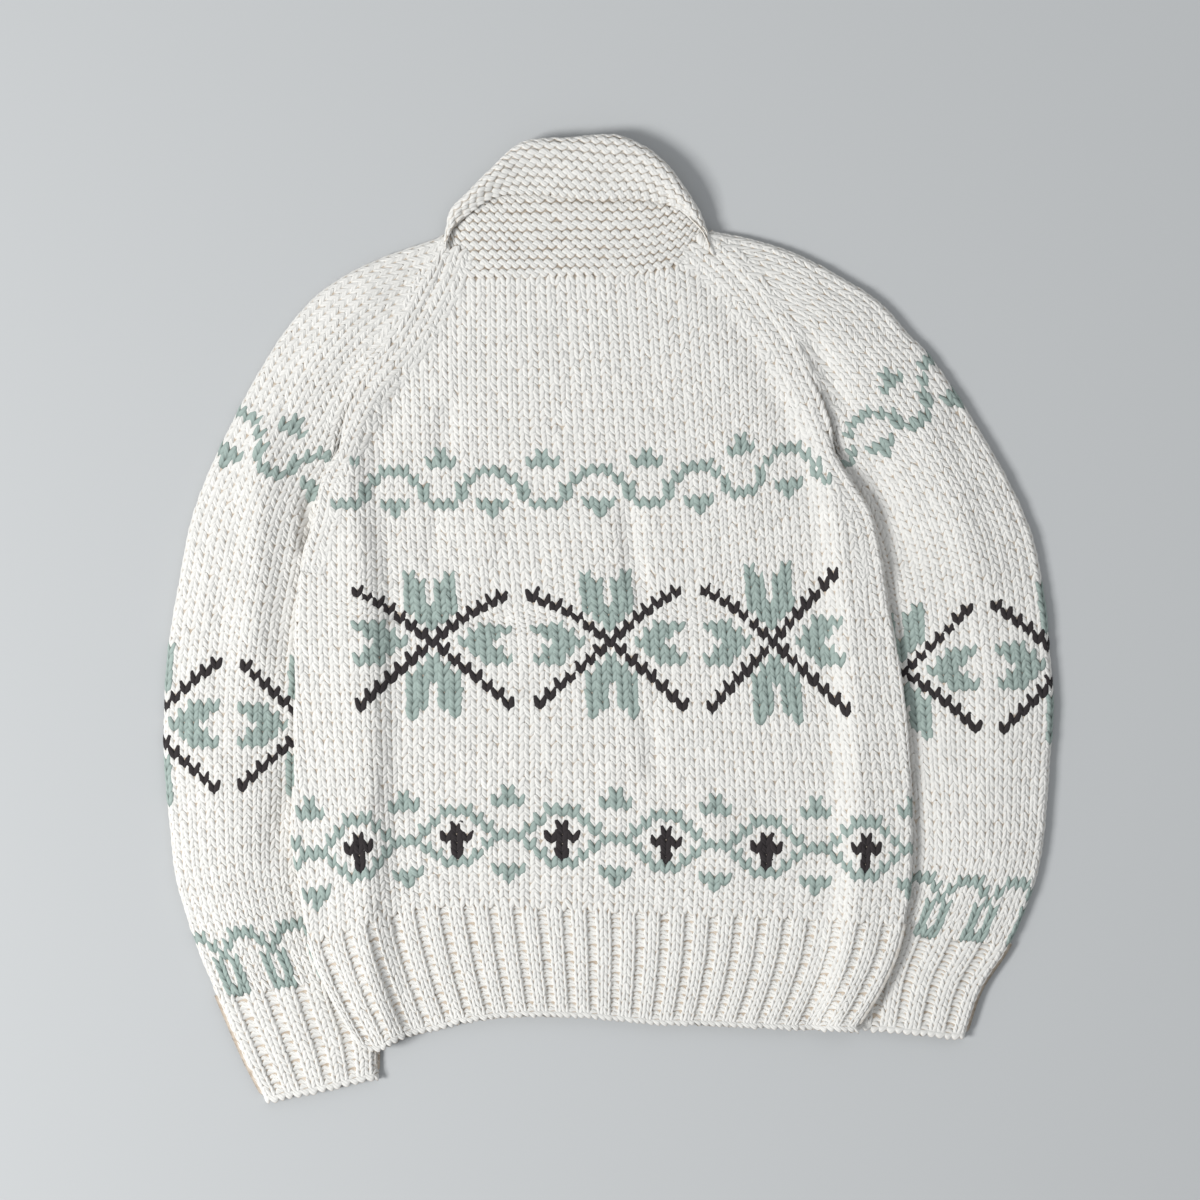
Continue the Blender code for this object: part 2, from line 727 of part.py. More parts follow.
def add_sleeve(side, cream, sage):
    cuff_top = CUFF_TOP_ROW[side]
    gap = SEAM_GAP / SECTION_STEP
    arm = np.linspace(cuff_top + gap, UNDERARM_ROW[side], SLEEVE_ROWS)[:-1]
    places = np.concatenate([arm, raglan_places(side)])
    sleeve_wall(f"sleeve_{side}", side, places, sage)
    cuff = np.linspace(0, cuff_top, CUFF_ROWS + 1)
    sleeve_wall(f"cuff_{side}", side, cuff, cream, ribs=CUFF_RIBS)


def ridges(count):
    """Depths of the rows across garter ridges, each a ridge between two sunk rows."""
    return GARTER_DEPTH * (np.arange(2 * count + 1) % 2 == 0)


def collar_column(u, neck, fold, edge):
    """(outer, inner) points of the collar's section at a share u of its length round the neck.

    The outer side runs under the stand, round the roll and over the fall. The inner side runs
    over the stand, inside the roll and under the fall.
    """
    end = smooth_step(min(u, 1 - u) / COLLAR_END)
    thick = COLLAR_WALL * (COLLAR_END_WALL + (1 - COLLAR_END_WALL) * end)
    roll = COLLAR_ROLL * (COLLAR_END_ROLL + (1 - COLLAR_END_ROLL) * end)
    up = (fold - neck) / np.linalg.norm(fold - neck)
    down = (edge - fold) / np.linalg.norm(edge - fold)
    heading = (up - down) / np.linalg.norm(up - down)
    start = fold - heading * (roll + thick)

    seam_x, seam_y = neck[:1], neck[1:]
    seam_low = (back_middle(seam_x, seam_y) + HALF_GAP + back_loft(seam_x, seam_y))[0]
    low = HALF_STACK + LAYER_GAP + COLLAR_RISE * end
    stand_share = np.linspace(0, STAND_SHOWN, 2 * STAND_RIDGES + 1)
    stand_share = np.concatenate([stand_share, STAND_HIDDEN])
    stand = neck + (start - neck) * stand_share[:, None]
    stand_low = seam_low + (low - seam_low) * smooth_step(stand_share / STAND_SETTLE)
    stand_sunk = np.concatenate([ridges(STAND_RIDGES), (0, 0)])

    turn = np.radians(np.linspace(-90, 90, 2 * ROLL_RIDGES + 1))[1:-1]
    roll_sunk = ridges(ROLL_RIDGES)[1:-1]
    middle = low + thick + roll
    around = heading * np.cos(turn)[:, None]
    outer_roll = start + around * (roll + thick - roll_sunk)[:, None]
    inner_roll = start + around * roll

    fall_share = np.linspace(0, 1, 2 * FALL_RIDGES + 1)
    fall = start + (edge - start) * fall_share[:, None]
    clear = 2 * roll + (LAYER_GAP - 2 * roll) * smooth_step(fall_share)
    fall_low = low + thick + clear

    outer_z = (stand_low, middle + (roll + thick - roll_sunk) * np.sin(turn))
    outer_z += (fall_low + thick - ridges(FALL_RIDGES),)
    inner_z = (stand_low + thick - stand_sunk, middle + roll * np.sin(turn), fall_low)
    outer = np.column_stack([np.concatenate([stand, outer_roll, fall]), np.concatenate(outer_z)])
    inner = np.column_stack([np.concatenate([stand, inner_roll, fall]), np.concatenate(inner_z)])
    return outer, inner


def add_collar_back(cream):
    """The collar from the neck seam up, over its roll and down to the free edge of its fall."""
    share = np.linspace(0, 1, COLLAR_COLUMNS + 1)
    lines = (moved(NECK, CURVED_SEAM_GAP / 2), COLLAR_FOLD, COLLAR_EDGE)
    neck, fold, edge = (along(line, share) for line in lines)
    sections = [collar_column(*column) for column in zip(share, neck, fold, edge)]
    outer, inner = np.array(sections).transpose(1, 2, 0, 3)
    wall("collar_back", outer, inner, cream)


def main():
    for old in list(bpy.data.objects):
        bpy.data.objects.remove(old)
    cream = yarn("cream yarn", CREAM)
    sage = yarn("sage, cream and charcoal yarn", SAGE)
    add_back(cream, sage)
    add_collar_back(cream)
    for side in INWARD:
        add_front(side, cream, sage)
        add_band(side, cream)
        add_sleeve(side, cream, sage)


if __name__ == "__main__":
    main()
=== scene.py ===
"""Looks of a chunky hand-knitted raglan cardigan with a shawl collar, laid flat with its back up.

Metres, +Z up. The neck points to +Y and the wearer's left is at -X. Each knitted piece is a thin
shell of cloth on the form of its solid, with its stitches modelled one by one on the shell's face.
The outlines and the layers' heights are those of the solids. Some folds are deeper here.
"""

from __future__ import annotations

import logging
from dataclasses import dataclass, field, replace
from enum import Enum

import bmesh
import bpy
import numpy as np
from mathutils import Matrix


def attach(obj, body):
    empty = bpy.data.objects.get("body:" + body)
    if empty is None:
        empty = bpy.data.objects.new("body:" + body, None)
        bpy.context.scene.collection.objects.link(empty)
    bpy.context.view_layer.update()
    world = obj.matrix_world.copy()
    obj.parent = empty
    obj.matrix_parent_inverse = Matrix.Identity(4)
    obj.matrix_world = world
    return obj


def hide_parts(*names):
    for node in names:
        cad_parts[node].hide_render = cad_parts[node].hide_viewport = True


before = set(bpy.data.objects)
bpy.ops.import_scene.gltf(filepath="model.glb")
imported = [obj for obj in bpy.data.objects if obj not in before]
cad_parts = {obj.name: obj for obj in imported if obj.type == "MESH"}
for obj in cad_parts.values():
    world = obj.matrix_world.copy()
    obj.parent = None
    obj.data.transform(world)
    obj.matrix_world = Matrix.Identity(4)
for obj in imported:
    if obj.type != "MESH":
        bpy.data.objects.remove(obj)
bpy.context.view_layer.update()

LOG = logging.getLogger("cardigan")

Array = np.ndarray
Line = tuple[tuple[float, float], ...]

# The cloth, how its layers lie on each other, and how the body climbs over the sleeves.
WALL = 0.0045
LAYER_GAP = 0.0006
SEAM_GAP = 0.0003
HALF_GAP = LAYER_GAP / 2
HALF_STACK = WALL + HALF_GAP
STACK = 2 * HALF_STACK
CLIMB = STACK + LAYER_GAP
CLIMB_WIDTH = 0.030
CLIMB_CLEAR_FRONT = 0.004
CLIMB_CLEAR_BACK = 0.008
CLIMB_END_FRONT = 0.090
CLIMB_END_BACK = 0.135
RAGLAN_RIDGE = 0.0030
RAGLAN_SLOPE = 0.020
BACK_LOFT = 0.0036
BACK_LOFT_EDGE = 0.060
SLEEVE_LOFT = 0.0065
CUFF_LOFT = 0.0020
SLEEVE_EASE = 0.12
ROUND_END = 0.030

# Over how much of a section above the underarm a sleeve's inner edge stops being rounded, and
# over how many the body's climb over it sets in. How many sections a cuff takes to swell.
SLEEVE_ROUND_END = 1.0
RIDGE_START = 2.0
CUFF_SWELL = 2

# Points no further apart than this have no direction.
TINY = 1e-12

# A stitch of the body and the sleeves, and one of the garter stitch.
STITCH_WIDTH = 0.0089
ROW_HEIGHT = 0.0078
SLEEVE_ROW_HEIGHT = 0.0083
GARTER_STITCH = 0.0088
GARTER_RIDGE = 0.0084
BODY_ROWS = 75

# A sleeve's stitches are this share as wide at its cuff, and as wide as the others above it.
CUFF_STITCH_SHARE = 0.79
CUFF_EASE_ROWS = 30

# A sleeve's rows turn square to its columns: how steeply at most, over how many rows this sets
# in above the cuff and fades below the neck, and over how many samples it is evened out.
SLANT_MOST = 0.5
SLANT_START = 8
SLANT_EASE = 25
SLANT_FADE = 16
SLANT_WINDOW = 141

# The share of a sleeve's outer edge in the line along which its rows are measured.
OUTER_SHARE = 0.6

# The last section of a sleeve, at the neck.
SLEEVE_END = 19.0

# How many points the sampled lines have: any short line, a sleeve's inner edge, a raglan seam,
# a sleeve's length, and its width where the body covers it. Places are measured from every
# fourth point of a raglan seam.
LINE_POINTS = 160
INNER_EDGE_POINTS = 400
RAGLAN_POINTS = 300
RAGLAN_SKIP = 4
SLEEVE_POINTS = 500
WIDTH_POINTS = 60

# A sleeve's border depends on its row, which depends on its column, so it is found in rounds.
BORDER_ROUNDS = 6

# How many columns of stitches run along each side of a raglan seam, and how far up the body they
# start.
RAGLAN_COLUMNS = 2
SEAM_OFFSET = 0.75
STRIP_START = {"left": 0.040, "right": 0.000}

# How far up its row the middle of a stitch stands, by which it is kept or left out, and how far
# across its column it stands on forms that count columns by their borders.
STITCH_MIDDLE = 0.4
HALF_STITCH = 0.5

# How far in a stitch is kept from a piece's border, in metres, and from a sleeve's seam, in
# columns, and how many columns in from a raglan seam the strip beside it stands.
BORDER_ROOM = 0.0005
SEAM_ROOM = 0.3
STRIP_ROOM = 0.05

# How far stitches go on under the layer that hides them: a front's under its sleeve, and a
# sleeve's under the body.
FRONT_UNDER = 0.020
SLEEVE_UNDER = 0.022

# The rows of the body on which its charts have their middle rows, and the columns of the leaf
# stars' middles on each layer.
CHAIN_ROW = 8
STAR_ROW = 30
WAVE_ROW = 51
STAR_COLUMNS = {"back": (-17, 0, 17), "front": (-17, 17)}

# A shell's points: across each stitch of the body, and round a sleeve.
SHELL_FINENESS = 1.2
SLEEVE_SHELL_POINTS = 56

# How deep the shell lies under the stitches' crowns, and how thick it is.
SHELL_DEPTH = 0.0015
SHELL_WALL = 0.0018

# A rib has two knit columns and a sunk purl column, each a share of its width.
KNIT_SHARE = 0.355
RIB_DEPTH = 0.0024

# How far from a knit column, in ribs, the cloth begins to sink, over how much it does so, and
# over how many rows above the cast-on edge the ribs set in.
SINK_FROM = 0.27
SINK_OVER = 0.15
RIB_SET_IN = 0.9

# How many ribs and rows the hems and cuffs have.
BACK_RIBS = 25
FRONT_RIBS = 11
CUFF_RIBS = 5
HEM_KNIT_ROWS = 12
CUFF_KNIT_ROWS = 11

# How many points the side edges of a hem have.
HEM_SIDE_POINTS = 40

# The collar's wall and roll, how high it lies on the back, over how much of its length and down
# to what share of wall and roll it narrows at its ends, and the share of its stand that shows.
COLLAR_WALL = 0.0055
COLLAR_ROLL = 0.0030
COLLAR_RISE = 0.0015
COLLAR_END = 0.16
COLLAR_END_WALL = 0.75
COLLAR_END_ROLL = 0.3
STAND_SHOWN = 0.95

# Over how much of the stand it comes down to the neck seam, and how many points the stand, the
# fall and the roll have.
SEAM_RISE = 0.35
STAND_POINTS = 40
ROLL_POINTS = 14

# How much longer the collar is at its ridges than at the neck seam.
COLLAR_SPREAD = 1.08

# A front band: the points of each stretch of its edge, those along and across it, its ridges,
# and from which share of its length, and over how much, it bends to the collar's top.
BAND_EDGE_POINTS = 120
BAND_POINTS = 160
BAND_ACROSS = 13
BAND_RIDGES = 6
BAND_TOP_FROM = 0.86
BAND_TOP_OVER = 0.14

# Where the cuffs end and where the underarms are, in each sleeve's sections.
CUFF_TOP_ROW = {"left": 2.25, "right": 2.1}
UNDERARM_ROW = {"left": 13, "right": 12}


class Side(Enum):
    """The wearer's side."""

    LEFT = "left"
    RIGHT = "right"

    @property
    def inward(self) -> int:
        """1 where the middle of the garment is towards +X, -1 where it is towards -X."""
        return 1 if self is Side.LEFT else -1


class Layer(Enum):
    """Which of the body's two layers a piece belongs to."""

    BACK = "back"
    FRONT = "front"


class Yarn(Enum):
    """The yarns, in the order of their material slots."""

    CREAM = 0
    SAGE = 1
    CHARCOAL = 2


# The body's side edge, from the top of the hem rib to the underarm.
BODY_SIDE: dict[str, Line] = {
    "left": (
        (-0.270, -0.292),
        (-0.277, -0.247),
        (-0.284, -0.208),
        (-0.282, -0.130),
        (-0.282, -0.076),
        (-0.280, 0.011),
        (-0.273, 0.060),
        (-0.264, 0.091),
        (-0.256, 0.126),
        (-0.242, 0.150),
    ),
    "right": (
        (0.265, -0.275),
        (0.270, -0.251),
        (0.272, -0.225),
        (0.272, -0.175),
        (0.270, -0.118),
        (0.265, -0.062),
        (0.254, -0.005),
        (0.244, 0.058),
        (0.234, 0.097),
        (0.216, 0.125),
        (0.204, 0.145),
    ),
}

# The side edge of the hem rib, from its cast-on edge up.
HEM_SIDE: dict[str, Line] = {
    "left": ((-0.227, -0.380), (-0.248, -0.345), (-0.263, -0.313), (-0.270, -0.292)),
    "right": ((0.223, -0.367), (0.243, -0.335), (0.258, -0.302), (0.265, -0.275)),
}

HEM_TOP: Line = (
    (-0.270, -0.292),
    (-0.231, -0.278),
    (-0.196, -0.267),
    (-0.160, -0.260),
    (-0.115, -0.259),
    (-0.022, -0.262),
    (0.119, -0.268),
    (0.222, -0.272),
    (0.265, -0.275),
)

HEM_BOTTOM: Line = (
    (-0.227, -0.380),
    (-0.209, -0.384),
    (-0.190, -0.375),
    (-0.159, -0.367),
    (-0.120, -0.358),
    (-0.072, -0.354),
    (-0.026, -0.355),
    (0.036, -0.361),
    (0.099, -0.363),
    (0.161, -0.366),
    (0.223, -0.367),
)

NECK: Line = (
    (-0.146, 0.319),
    (-0.135, 0.308),
    (-0.098, 0.305),
    (-0.039, 0.306),
    (0.044, 0.311),
    (0.072, 0.320),
    (0.087, 0.329),
)

# The seam between each front and its band, from the top of the hem rib to the neck.
BAND_SEAM: dict[str, Line] = {
    "left": (
        (-0.047, -0.264),
        (-0.053, -0.121),
        (-0.057, 0.050),
        (-0.062, 0.122),
        (-0.098, 0.221),
        (-0.132, 0.300),
    ),
    "right": (
        (0.034, -0.267),
        (0.025, -0.121),
        (0.014, 0.050),
        (0.007, 0.122),
        (0.042, 0.221),
        (0.071, 0.305),
    ),
}

BAND_HEM: dict[str, Line] = {
    "left": ((-0.044, -0.356), (-0.047, -0.264)),
    "right": ((0.037, -0.361), (0.034, -0.267)),
}

# The line down the middle of the front where the two bands meet.
CENTRE_FRONT: Line = (
    (-0.003, -0.358),
    (-0.007, -0.264),
    (-0.014, -0.121),
    (-0.022, 0.050),
    (-0.027, 0.194),
    (-0.030, 0.306),
    (-0.030, 0.418),
)

# Where the front half of the collar turns up from the neck seam, under the collar's roll.
COLLAR_SIDE: dict[str, Line] = {
    "left": ((-0.132, 0.300), (-0.143, 0.322), (-0.141, 0.345)),
    "right": ((0.071, 0.305), (0.082, 0.326), (0.082, 0.342)),
}
COLLAR_TOP: dict[str, Line] = {
    "left": ((-0.141, 0.345), (-0.119, 0.376), (-0.076, 0.414), (-0.030, 0.418)),
    "right": ((0.082, 0.342), (0.065, 0.374), (0.026, 0.411), (-0.030, 0.418)),
}

# The collar's roll along its top, and the free edge of its fall.
COLLAR_FOLD: Line = (
    (-0.147, 0.346),
    (-0.143, 0.363),
    (-0.127, 0.380),
    (-0.107, 0.400),
    (-0.079, 0.424),
    (-0.035, 0.429),
    (0.012, 0.430),
    (0.029, 0.423),
    (0.052, 0.406),
    (0.071, 0.381),
    (0.083, 0.362),
    (0.090, 0.344),
)
COLLAR_EDGE: Line = (
    (-0.134, 0.352),
    (-0.120, 0.364),
    (-0.103, 0.375),
    (-0.056, 0.378),
    (-0.015, 0.374),
    (0.029, 0.374),
    (0.061, 0.365),
    (0.077, 0.352),
)

# Each sleeve's cross-sections from the cuff's cast-on edge to the neck, as outer x, outer y,
# inner x and inner y. The inner edge is the raglan seam from the underarm on.
SLEEVE: dict[str, tuple[tuple[float, float, float, float], ...]] = {
    "left": (
        (-0.310, -0.432, -0.207, -0.410),
        (-0.328, -0.397, -0.208, -0.378),
        (-0.348, -0.351, -0.220, -0.332),
        (-0.365, -0.310, -0.225, -0.290),
        (-0.379, -0.271, -0.226, -0.249),
        (-0.390, -0.229, -0.225, -0.211),
        (-0.396, -0.172, -0.225, -0.157),
        (-0.400, -0.116, -0.224, -0.103),
        (-0.398, -0.054, -0.225, -0.044),
        (-0.393, -0.008, -0.227, 0.001),
        (-0.385, 0.038, -0.232, 0.041),
        (-0.376, 0.084, -0.237, 0.079),
        (-0.363, 0.121, -0.242, 0.115),
        (-0.342, 0.167, -0.242, 0.150),
        (-0.308, 0.231, -0.216, 0.207),
        (-0.274, 0.277, -0.189, 0.239),
        (-0.246, 0.301, -0.173, 0.264),
        (-0.210, 0.320, -0.162, 0.284),
        (-0.171, 0.334, -0.152, 0.303),
        (-0.152, 0.341, -0.146, 0.319),
    ),
    "right": (
        (0.321, -0.375, 0.217, -0.365),
        (0.335, -0.335, 0.222, -0.317),
        (0.359, -0.298, 0.228, -0.283),
        (0.377, -0.257, 0.232, -0.245),
        (0.390, -0.211, 0.234, -0.206),
        (0.397, -0.132, 0.234, -0.125),
        (0.400, -0.076, 0.232, -0.067),
        (0.397, -0.034, 0.228, -0.026),
        (0.393, 0.008, 0.225, 0.014),
        (0.385, 0.058, 0.220, 0.054),
        (0.374, 0.092, 0.216, 0.086),
        (0.357, 0.127, 0.210, 0.117),
        (0.334, 0.167, 0.204, 0.145),
        (0.293, 0.229, 0.186, 0.192),
        (0.269, 0.255, 0.170, 0.224),
        (0.243, 0.283, 0.153, 0.254),
        (0.207, 0.306, 0.137, 0.276),
        (0.169, 0.326, 0.121, 0.297),
        (0.132, 0.338, 0.103, 0.316),
        (0.094, 0.346, 0.087, 0.329),
    ),
}

# Soft folds in the upper layer: from x, from y, to x, to y, width and height. A negative height
# is a trough.
FOLDS: tuple[tuple[float, float, float, float, float, float], ...] = (
    (0.018, 0.092, 0.022, 0.040, 0.010, -0.0034),
    (0.026, 0.040, 0.032, 0.012, 0.009, -0.0026),
    (0.036, -0.095, 0.040, -0.130, 0.010, -0.0030),
    (-0.188, 0.000, -0.094, -0.002, 0.007, -0.0034),
    (-0.180, 0.013, -0.104, 0.011, 0.008, 0.0016),
    (-0.154, 0.084, -0.158, 0.058, 0.011, -0.0026),
    (-0.108, 0.078, -0.112, 0.050, 0.012, 0.0018),
    (-0.143, 0.186, -0.148, 0.156, 0.011, -0.0026),
    (0.110, 0.150, 0.128, 0.070, 0.016, 0.0010),
    (0.090, -0.180, 0.110, -0.240, 0.018, 0.0018),
    (-0.120, -0.180, -0.100, -0.235, 0.018, 0.0016),
    (-0.308, 0.157, -0.314, -0.026, 0.018, 0.0045),
    (-0.345, 0.010, -0.352, -0.110, 0.014, -0.0018),
    (0.290, 0.160, 0.330, 0.040, 0.020, 0.0030),
    (0.318, -0.020, 0.322, -0.120, 0.014, -0.0020),
    (-0.262, 0.238, -0.214, 0.290, 0.016, 0.0020),
)

# Deeper creases of a sleeve beside the body's edge, in the same terms.
CREASES: tuple[tuple[float, float, float, float, float, float], ...] = (
    (-0.269, 0.104, -0.270, 0.062, 0.0075, -0.0055),
    (-0.286, -0.150, -0.300, -0.205, 0.013, -0.0038),
    (0.184, 0.240, 0.206, 0.196, 0.011, -0.0034),
    (0.240, 0.128, 0.266, 0.050, 0.015, -0.0034),
)

# Where the back's cloth has slipped along its columns: x, y, the reach to the side and along, and
# how far.
SLIPS: tuple[tuple[float, float, float, float, float], ...] = (
    (-0.236, 0.035, 0.030, 0.030, -0.009),
    (-0.082, 0.022, 0.034, 0.028, -0.014),
    (0.073, 0.027, 0.030, 0.028, -0.009),
)

# Where every tenth column of the body stands on five of its rows, from column -30 to column 30.
GRID_ROWS = (0.0, 8.0, 30.0, 51.0, float(BODY_ROWS))
GRID_COLUMNS = (-30, -20, -10, 0, 10, 20, 30)
GRID_X = (
    (-0.258, -0.177, -0.089, 0.005, 0.093, 0.183, 0.267),
    (-0.263, -0.182, -0.090, 0.007, 0.096, 0.187, 0.273),
    (-0.278, -0.186, -0.091, 0.002, 0.090, 0.172, 0.256),
    (-0.278, -0.192, -0.107, -0.010, 0.080, 0.159, 0.244),
    (-0.288, -0.199, -0.110, -0.021, 0.068, 0.157, 0.246),
)

# Further out than any column of the body, and at how many places each is read for its edge.
MOST_COLUMNS = 36
COLUMN_PARTS = 4

# Where those five rows run across the body.
GRID_LINES: tuple[Line, ...] = (
    HEM_TOP,
    ((-0.270, -0.216), (-0.135, -0.200), (0.0, -0.202), (0.135, -0.210), (0.270, -0.211)),
    ((-0.270, -0.026), (-0.135, -0.026), (0.0, -0.026), (0.135, -0.026), (0.270, -0.026)),
    (
        (-0.270, 0.127),
        (-0.135, 0.127),
        (0.0, 0.128),
        (0.080, 0.131),
        (0.150, 0.146),
        (0.270, 0.155),
    ),
    NECK,
)


def smooth_step(share: Array | float) -> Array:
    """A share from 0 to 1, eased at both ends.

    Args:
        share: the share, held to 0 and 1 outside them.

    Returns:
        The eased share.
    """
    share = np.clip(share, 0, 1)
    return share * share * (3 - 2 * share)


def bend(low: Array, high: Array, low_slope: Array, high_slope: Array, part: Array) -> Array:
    """Reads a smooth curve between two of its points.

    Args:
        low: the curve at part 0.
        high: the curve at part 1.
        low_slope: how much the curve rises in a whole part, at part 0.
        high_slope: how much it rises so at part 1.
        part: how far each place is from the first point to the second.

    Returns:
        The curve at each part.
    """
    return (
        low * (1 + 2 * part) * (1 - part) ** 2
        + low_slope * part * (1 - part) ** 2
        + high * part * part * (3 - 2 * part)
        + high_slope * part * part * (part - 1)
    )


def curve(rows: Array, knots: Array, place: Array | float) -> Array:
    """Reads the smooth curve that passes each row at its knot.

    Args:
        rows: the rows that the curve passes.
        knots: where it passes each of them.
        place: the places that are read.

    Returns:
        One row for each place.
    """
    slope = np.gradient(rows, knots, axis=0)
    place = np.clip(np.atleast_1d(place), knots[0], knots[-1])
    first = np.clip(np.searchsorted(knots, place, side="right") - 1, 0, len(knots) - 2)
    step = (knots[first + 1] - knots[first])[:, None]
    part = (place - knots[first])[:, None] / step
    slopes = slope[first] * step, slope[first + 1] * step
    return bend(rows[first], rows[first + 1], *slopes, part)


def along(table: Line | Array, share: Array | float) -> Array:
    """Reads the smooth curve through a table's rows.

    Args:
        table: the rows that the curve passes.
        share: shares of the curve's length, from 0 to 1.

    Returns:
        One row for each share.
    """
    rows = np.array(table, float)
    length = np.linalg.norm(np.diff(rows, axis=0), axis=1).cumsum()
    knots = np.concatenate([[0], length]) / length[-1]
    return curve(rows, knots, share)


def dense(table: Line | Array, count: int = LINE_POINTS) -> Array:
    """Evenly spaced points of the smooth curve through a table's rows."""
    return along(table, np.linspace(0, 1, count))


def x_at(line: Array, y: Array) -> Array:
    """How far to the side a line lies at heights y, where the line runs up."""
    return np.interp(y, line[:, 1], line[:, 0])


class Outline:
    """The lines of the garment's plan, sampled once."""

    def __init__(self) -> None:
        """Samples the side edges, the sleeves' sections and the band seams."""
        self.inner: dict[str, Array] = {}
        self.edge: dict[str, Array] = {}
        self.seam: dict[str, Array] = {}
        for name, table in SLEEVE.items():
            rows = np.array(table, float)
            places = np.linspace(0, len(rows) - 1, INNER_EDGE_POINTS)
            self.inner[name] = curve(rows, np.arange(float(len(rows))), places)[:, 2:]
            self.edge[name] = np.concatenate([dense(HEM_SIDE[name]), dense(BODY_SIDE[name])])
            self.seam[name] = np.concatenate([dense(BAND_HEM[name]), dense(BAND_SEAM[name])])

    def inner_edge_x(self, side: Side, y: Array) -> Array:
        """How far to the side the sleeve's inner edge, or the raglan seam, lies at y."""
        return x_at(self.inner[side.value], y)

    def side_x(self, side: Side, y: Array) -> Array:
        """The body's edge at y: its side up to the underarm, and the raglan seam above it."""
        low = x_at(self.edge[side.value], y)
        return np.where(above_underarm(side, y) > 0, self.inner_edge_x(side, y), low)

    def seam_x(self, side: Side, y: Array) -> Array:
        """How far to the side the seam between a front and its band lies at y."""
        return x_at(self.seam[side.value], y)


def above_underarm(side: Side, y: Array) -> Array:
    """How far y is above the underarm."""
    return y - BODY_SIDE[side.value][-1][1]


OUTLINE = Outline()


def climb(x: Array, y: Array, clear: float, end: float, least: float) -> Array:
    """How far the body is raised at its sides, over the sleeves and up the raglan.

    Args:
        x: places to the side.
        y: places up the body.
        clear: how far the full height reaches past the sleeve's inner edge.
        end: how far above the underarm the height has come down to least.
        least: the height that is left at the neck.

    Returns:
        The height at each place.
    """
    raised = np.zeros_like(x)
    for side in Side:
        fall = smooth_step(above_underarm(side, y) / end)
        height = CLIMB + (least - CLIMB) * fall
        past = (side.inward * (x - OUTLINE.inner_edge_x(side, y)) - clear) / CLIMB_WIDTH
        raised = np.maximum(raised, height * (1 - smooth_step(past)))
    return raised


def front_middle(x: Array, y: Array) -> Array:
    """The height half way between a front and the back's lowest place on it."""
    return HALF_STACK + climb(x, y, CLIMB_CLEAR_FRONT, CLIMB_END_FRONT, 0)


def back_middle(x: Array, y: Array) -> Array:
    """The height of the back's middle where it lies on the fronts."""
    return HALF_STACK + climb(x, y, CLIMB_CLEAR_BACK, CLIMB_END_BACK, RAGLAN_RIDGE)


def folds(x: Array, y: Array, table: tuple[tuple[float, ...], ...] = FOLDS) -> Array:
    """The height of the soft folds at each place of the upper layer.

    Args:
        x: places to the side.
        y: places up the garment.
        table: the folds.

    Returns:
        The height at each place.
    """
    height = np.zeros_like(x)
    for from_x, from_y, to_x, to_y, width, rise in table:
        run_x, run_y = to_x - from_x, to_y - from_y
        length = np.hypot(run_x, run_y)
        past = ((x - from_x) * run_x + (y - from_y) * run_y) / length
        beside = ((x - from_x) * run_y - (y - from_y) * run_x) / length
        beyond = np.maximum(np.maximum(-past, past - length), 0)
        height += rise * np.exp(-(beside**2 + beyond**2) / width**2)
    return height


def back_loft(x: Array, y: Array) -> Array:
    """How far the back stands clear of the fronts, with its folds."""
    room = np.ones_like(x)
    for side in Side:
        past = side.inward * (x - OUTLINE.side_x(side, y)) - HALF_STACK
        room *= smooth_step(past / BACK_LOFT_EDGE)
    return np.maximum(BACK_LOFT + folds(x, y), 0) * room


def face_height(layer: Layer, x: Array, y: Array, drop: Array) -> Array:
    """The height of a layer's face.

    Args:
        layer: the back, whose face is on top, or the front, whose face is underneath.
        x: places to the side.
        y: places up the body.
        drop: how far the cloth has turned in from the face at a side fold.

    Returns:
        The height at each place.
    """
    if layer is Layer.BACK:
        return back_middle(x, y) + HALF_STACK + back_loft(x, y) - drop
    return front_middle(x, y) - HALF_STACK + drop


def rounded_edge(flat: Array) -> tuple[Array, Array]:
    """Lays cloth round a side fold.

    Args:
        flat: distance in from the fold's outermost line, as if the cloth went on flat.

    Returns:
        The distance in, seen from above, and how far the cloth has turned down there.
    """
    angle = np.clip((HALF_STACK - flat) / HALF_STACK, 0, np.pi / 2)
    turned = flat < HALF_STACK
    distance = np.where(turned, HALF_STACK * (1 - np.sin(angle)), flat)
    return distance, np.where(turned, HALF_STACK * (1 - np.cos(angle)), 0.0)


# How much further cloth reaches round a fold than it seems to from above.
FOLD_REACH = (np.pi / 2 - 1) * HALF_STACK


# How far to each side of a place, in stitches, the face is read for its direction.
NORMAL_STEP = 0.08


class ClothForm:
    """A face of cloth, read at places counted in columns and rows of stitches."""

    facing = 1.0

    def at(self, column: Array, row: Array) -> Array:
        """Points of the face.

        Args:
            column: places across, in stitches.
            row: places along, in rows.

        Returns:
            One point for each place.
        """
        raise NotImplementedError

    def raised(self, column: Array, row: Array, height: Array) -> Array:
        """Points at a height out of the face, and never under the floor.

        Args:
            column: places across, in stitches.
            row: places along, in rows.
            height: how far out of the face, in metres.

        Returns:
            One point for each place.
        """
        step = NORMAL_STEP
        across = self.at(column + step, row) - self.at(column - step, row)
        upward = self.at(column, row + step) - self.at(column, row - step)
        normal = np.cross(across, upward) * self.facing
        length = np.linalg.norm(normal, axis=1, keepdims=True)
        normal = normal / np.maximum(length, TINY)
        points = self.at(column, row) + normal * np.reshape(height, (-1, 1))
        points[:, 2] = np.maximum(points[:, 2], 0)
        return points


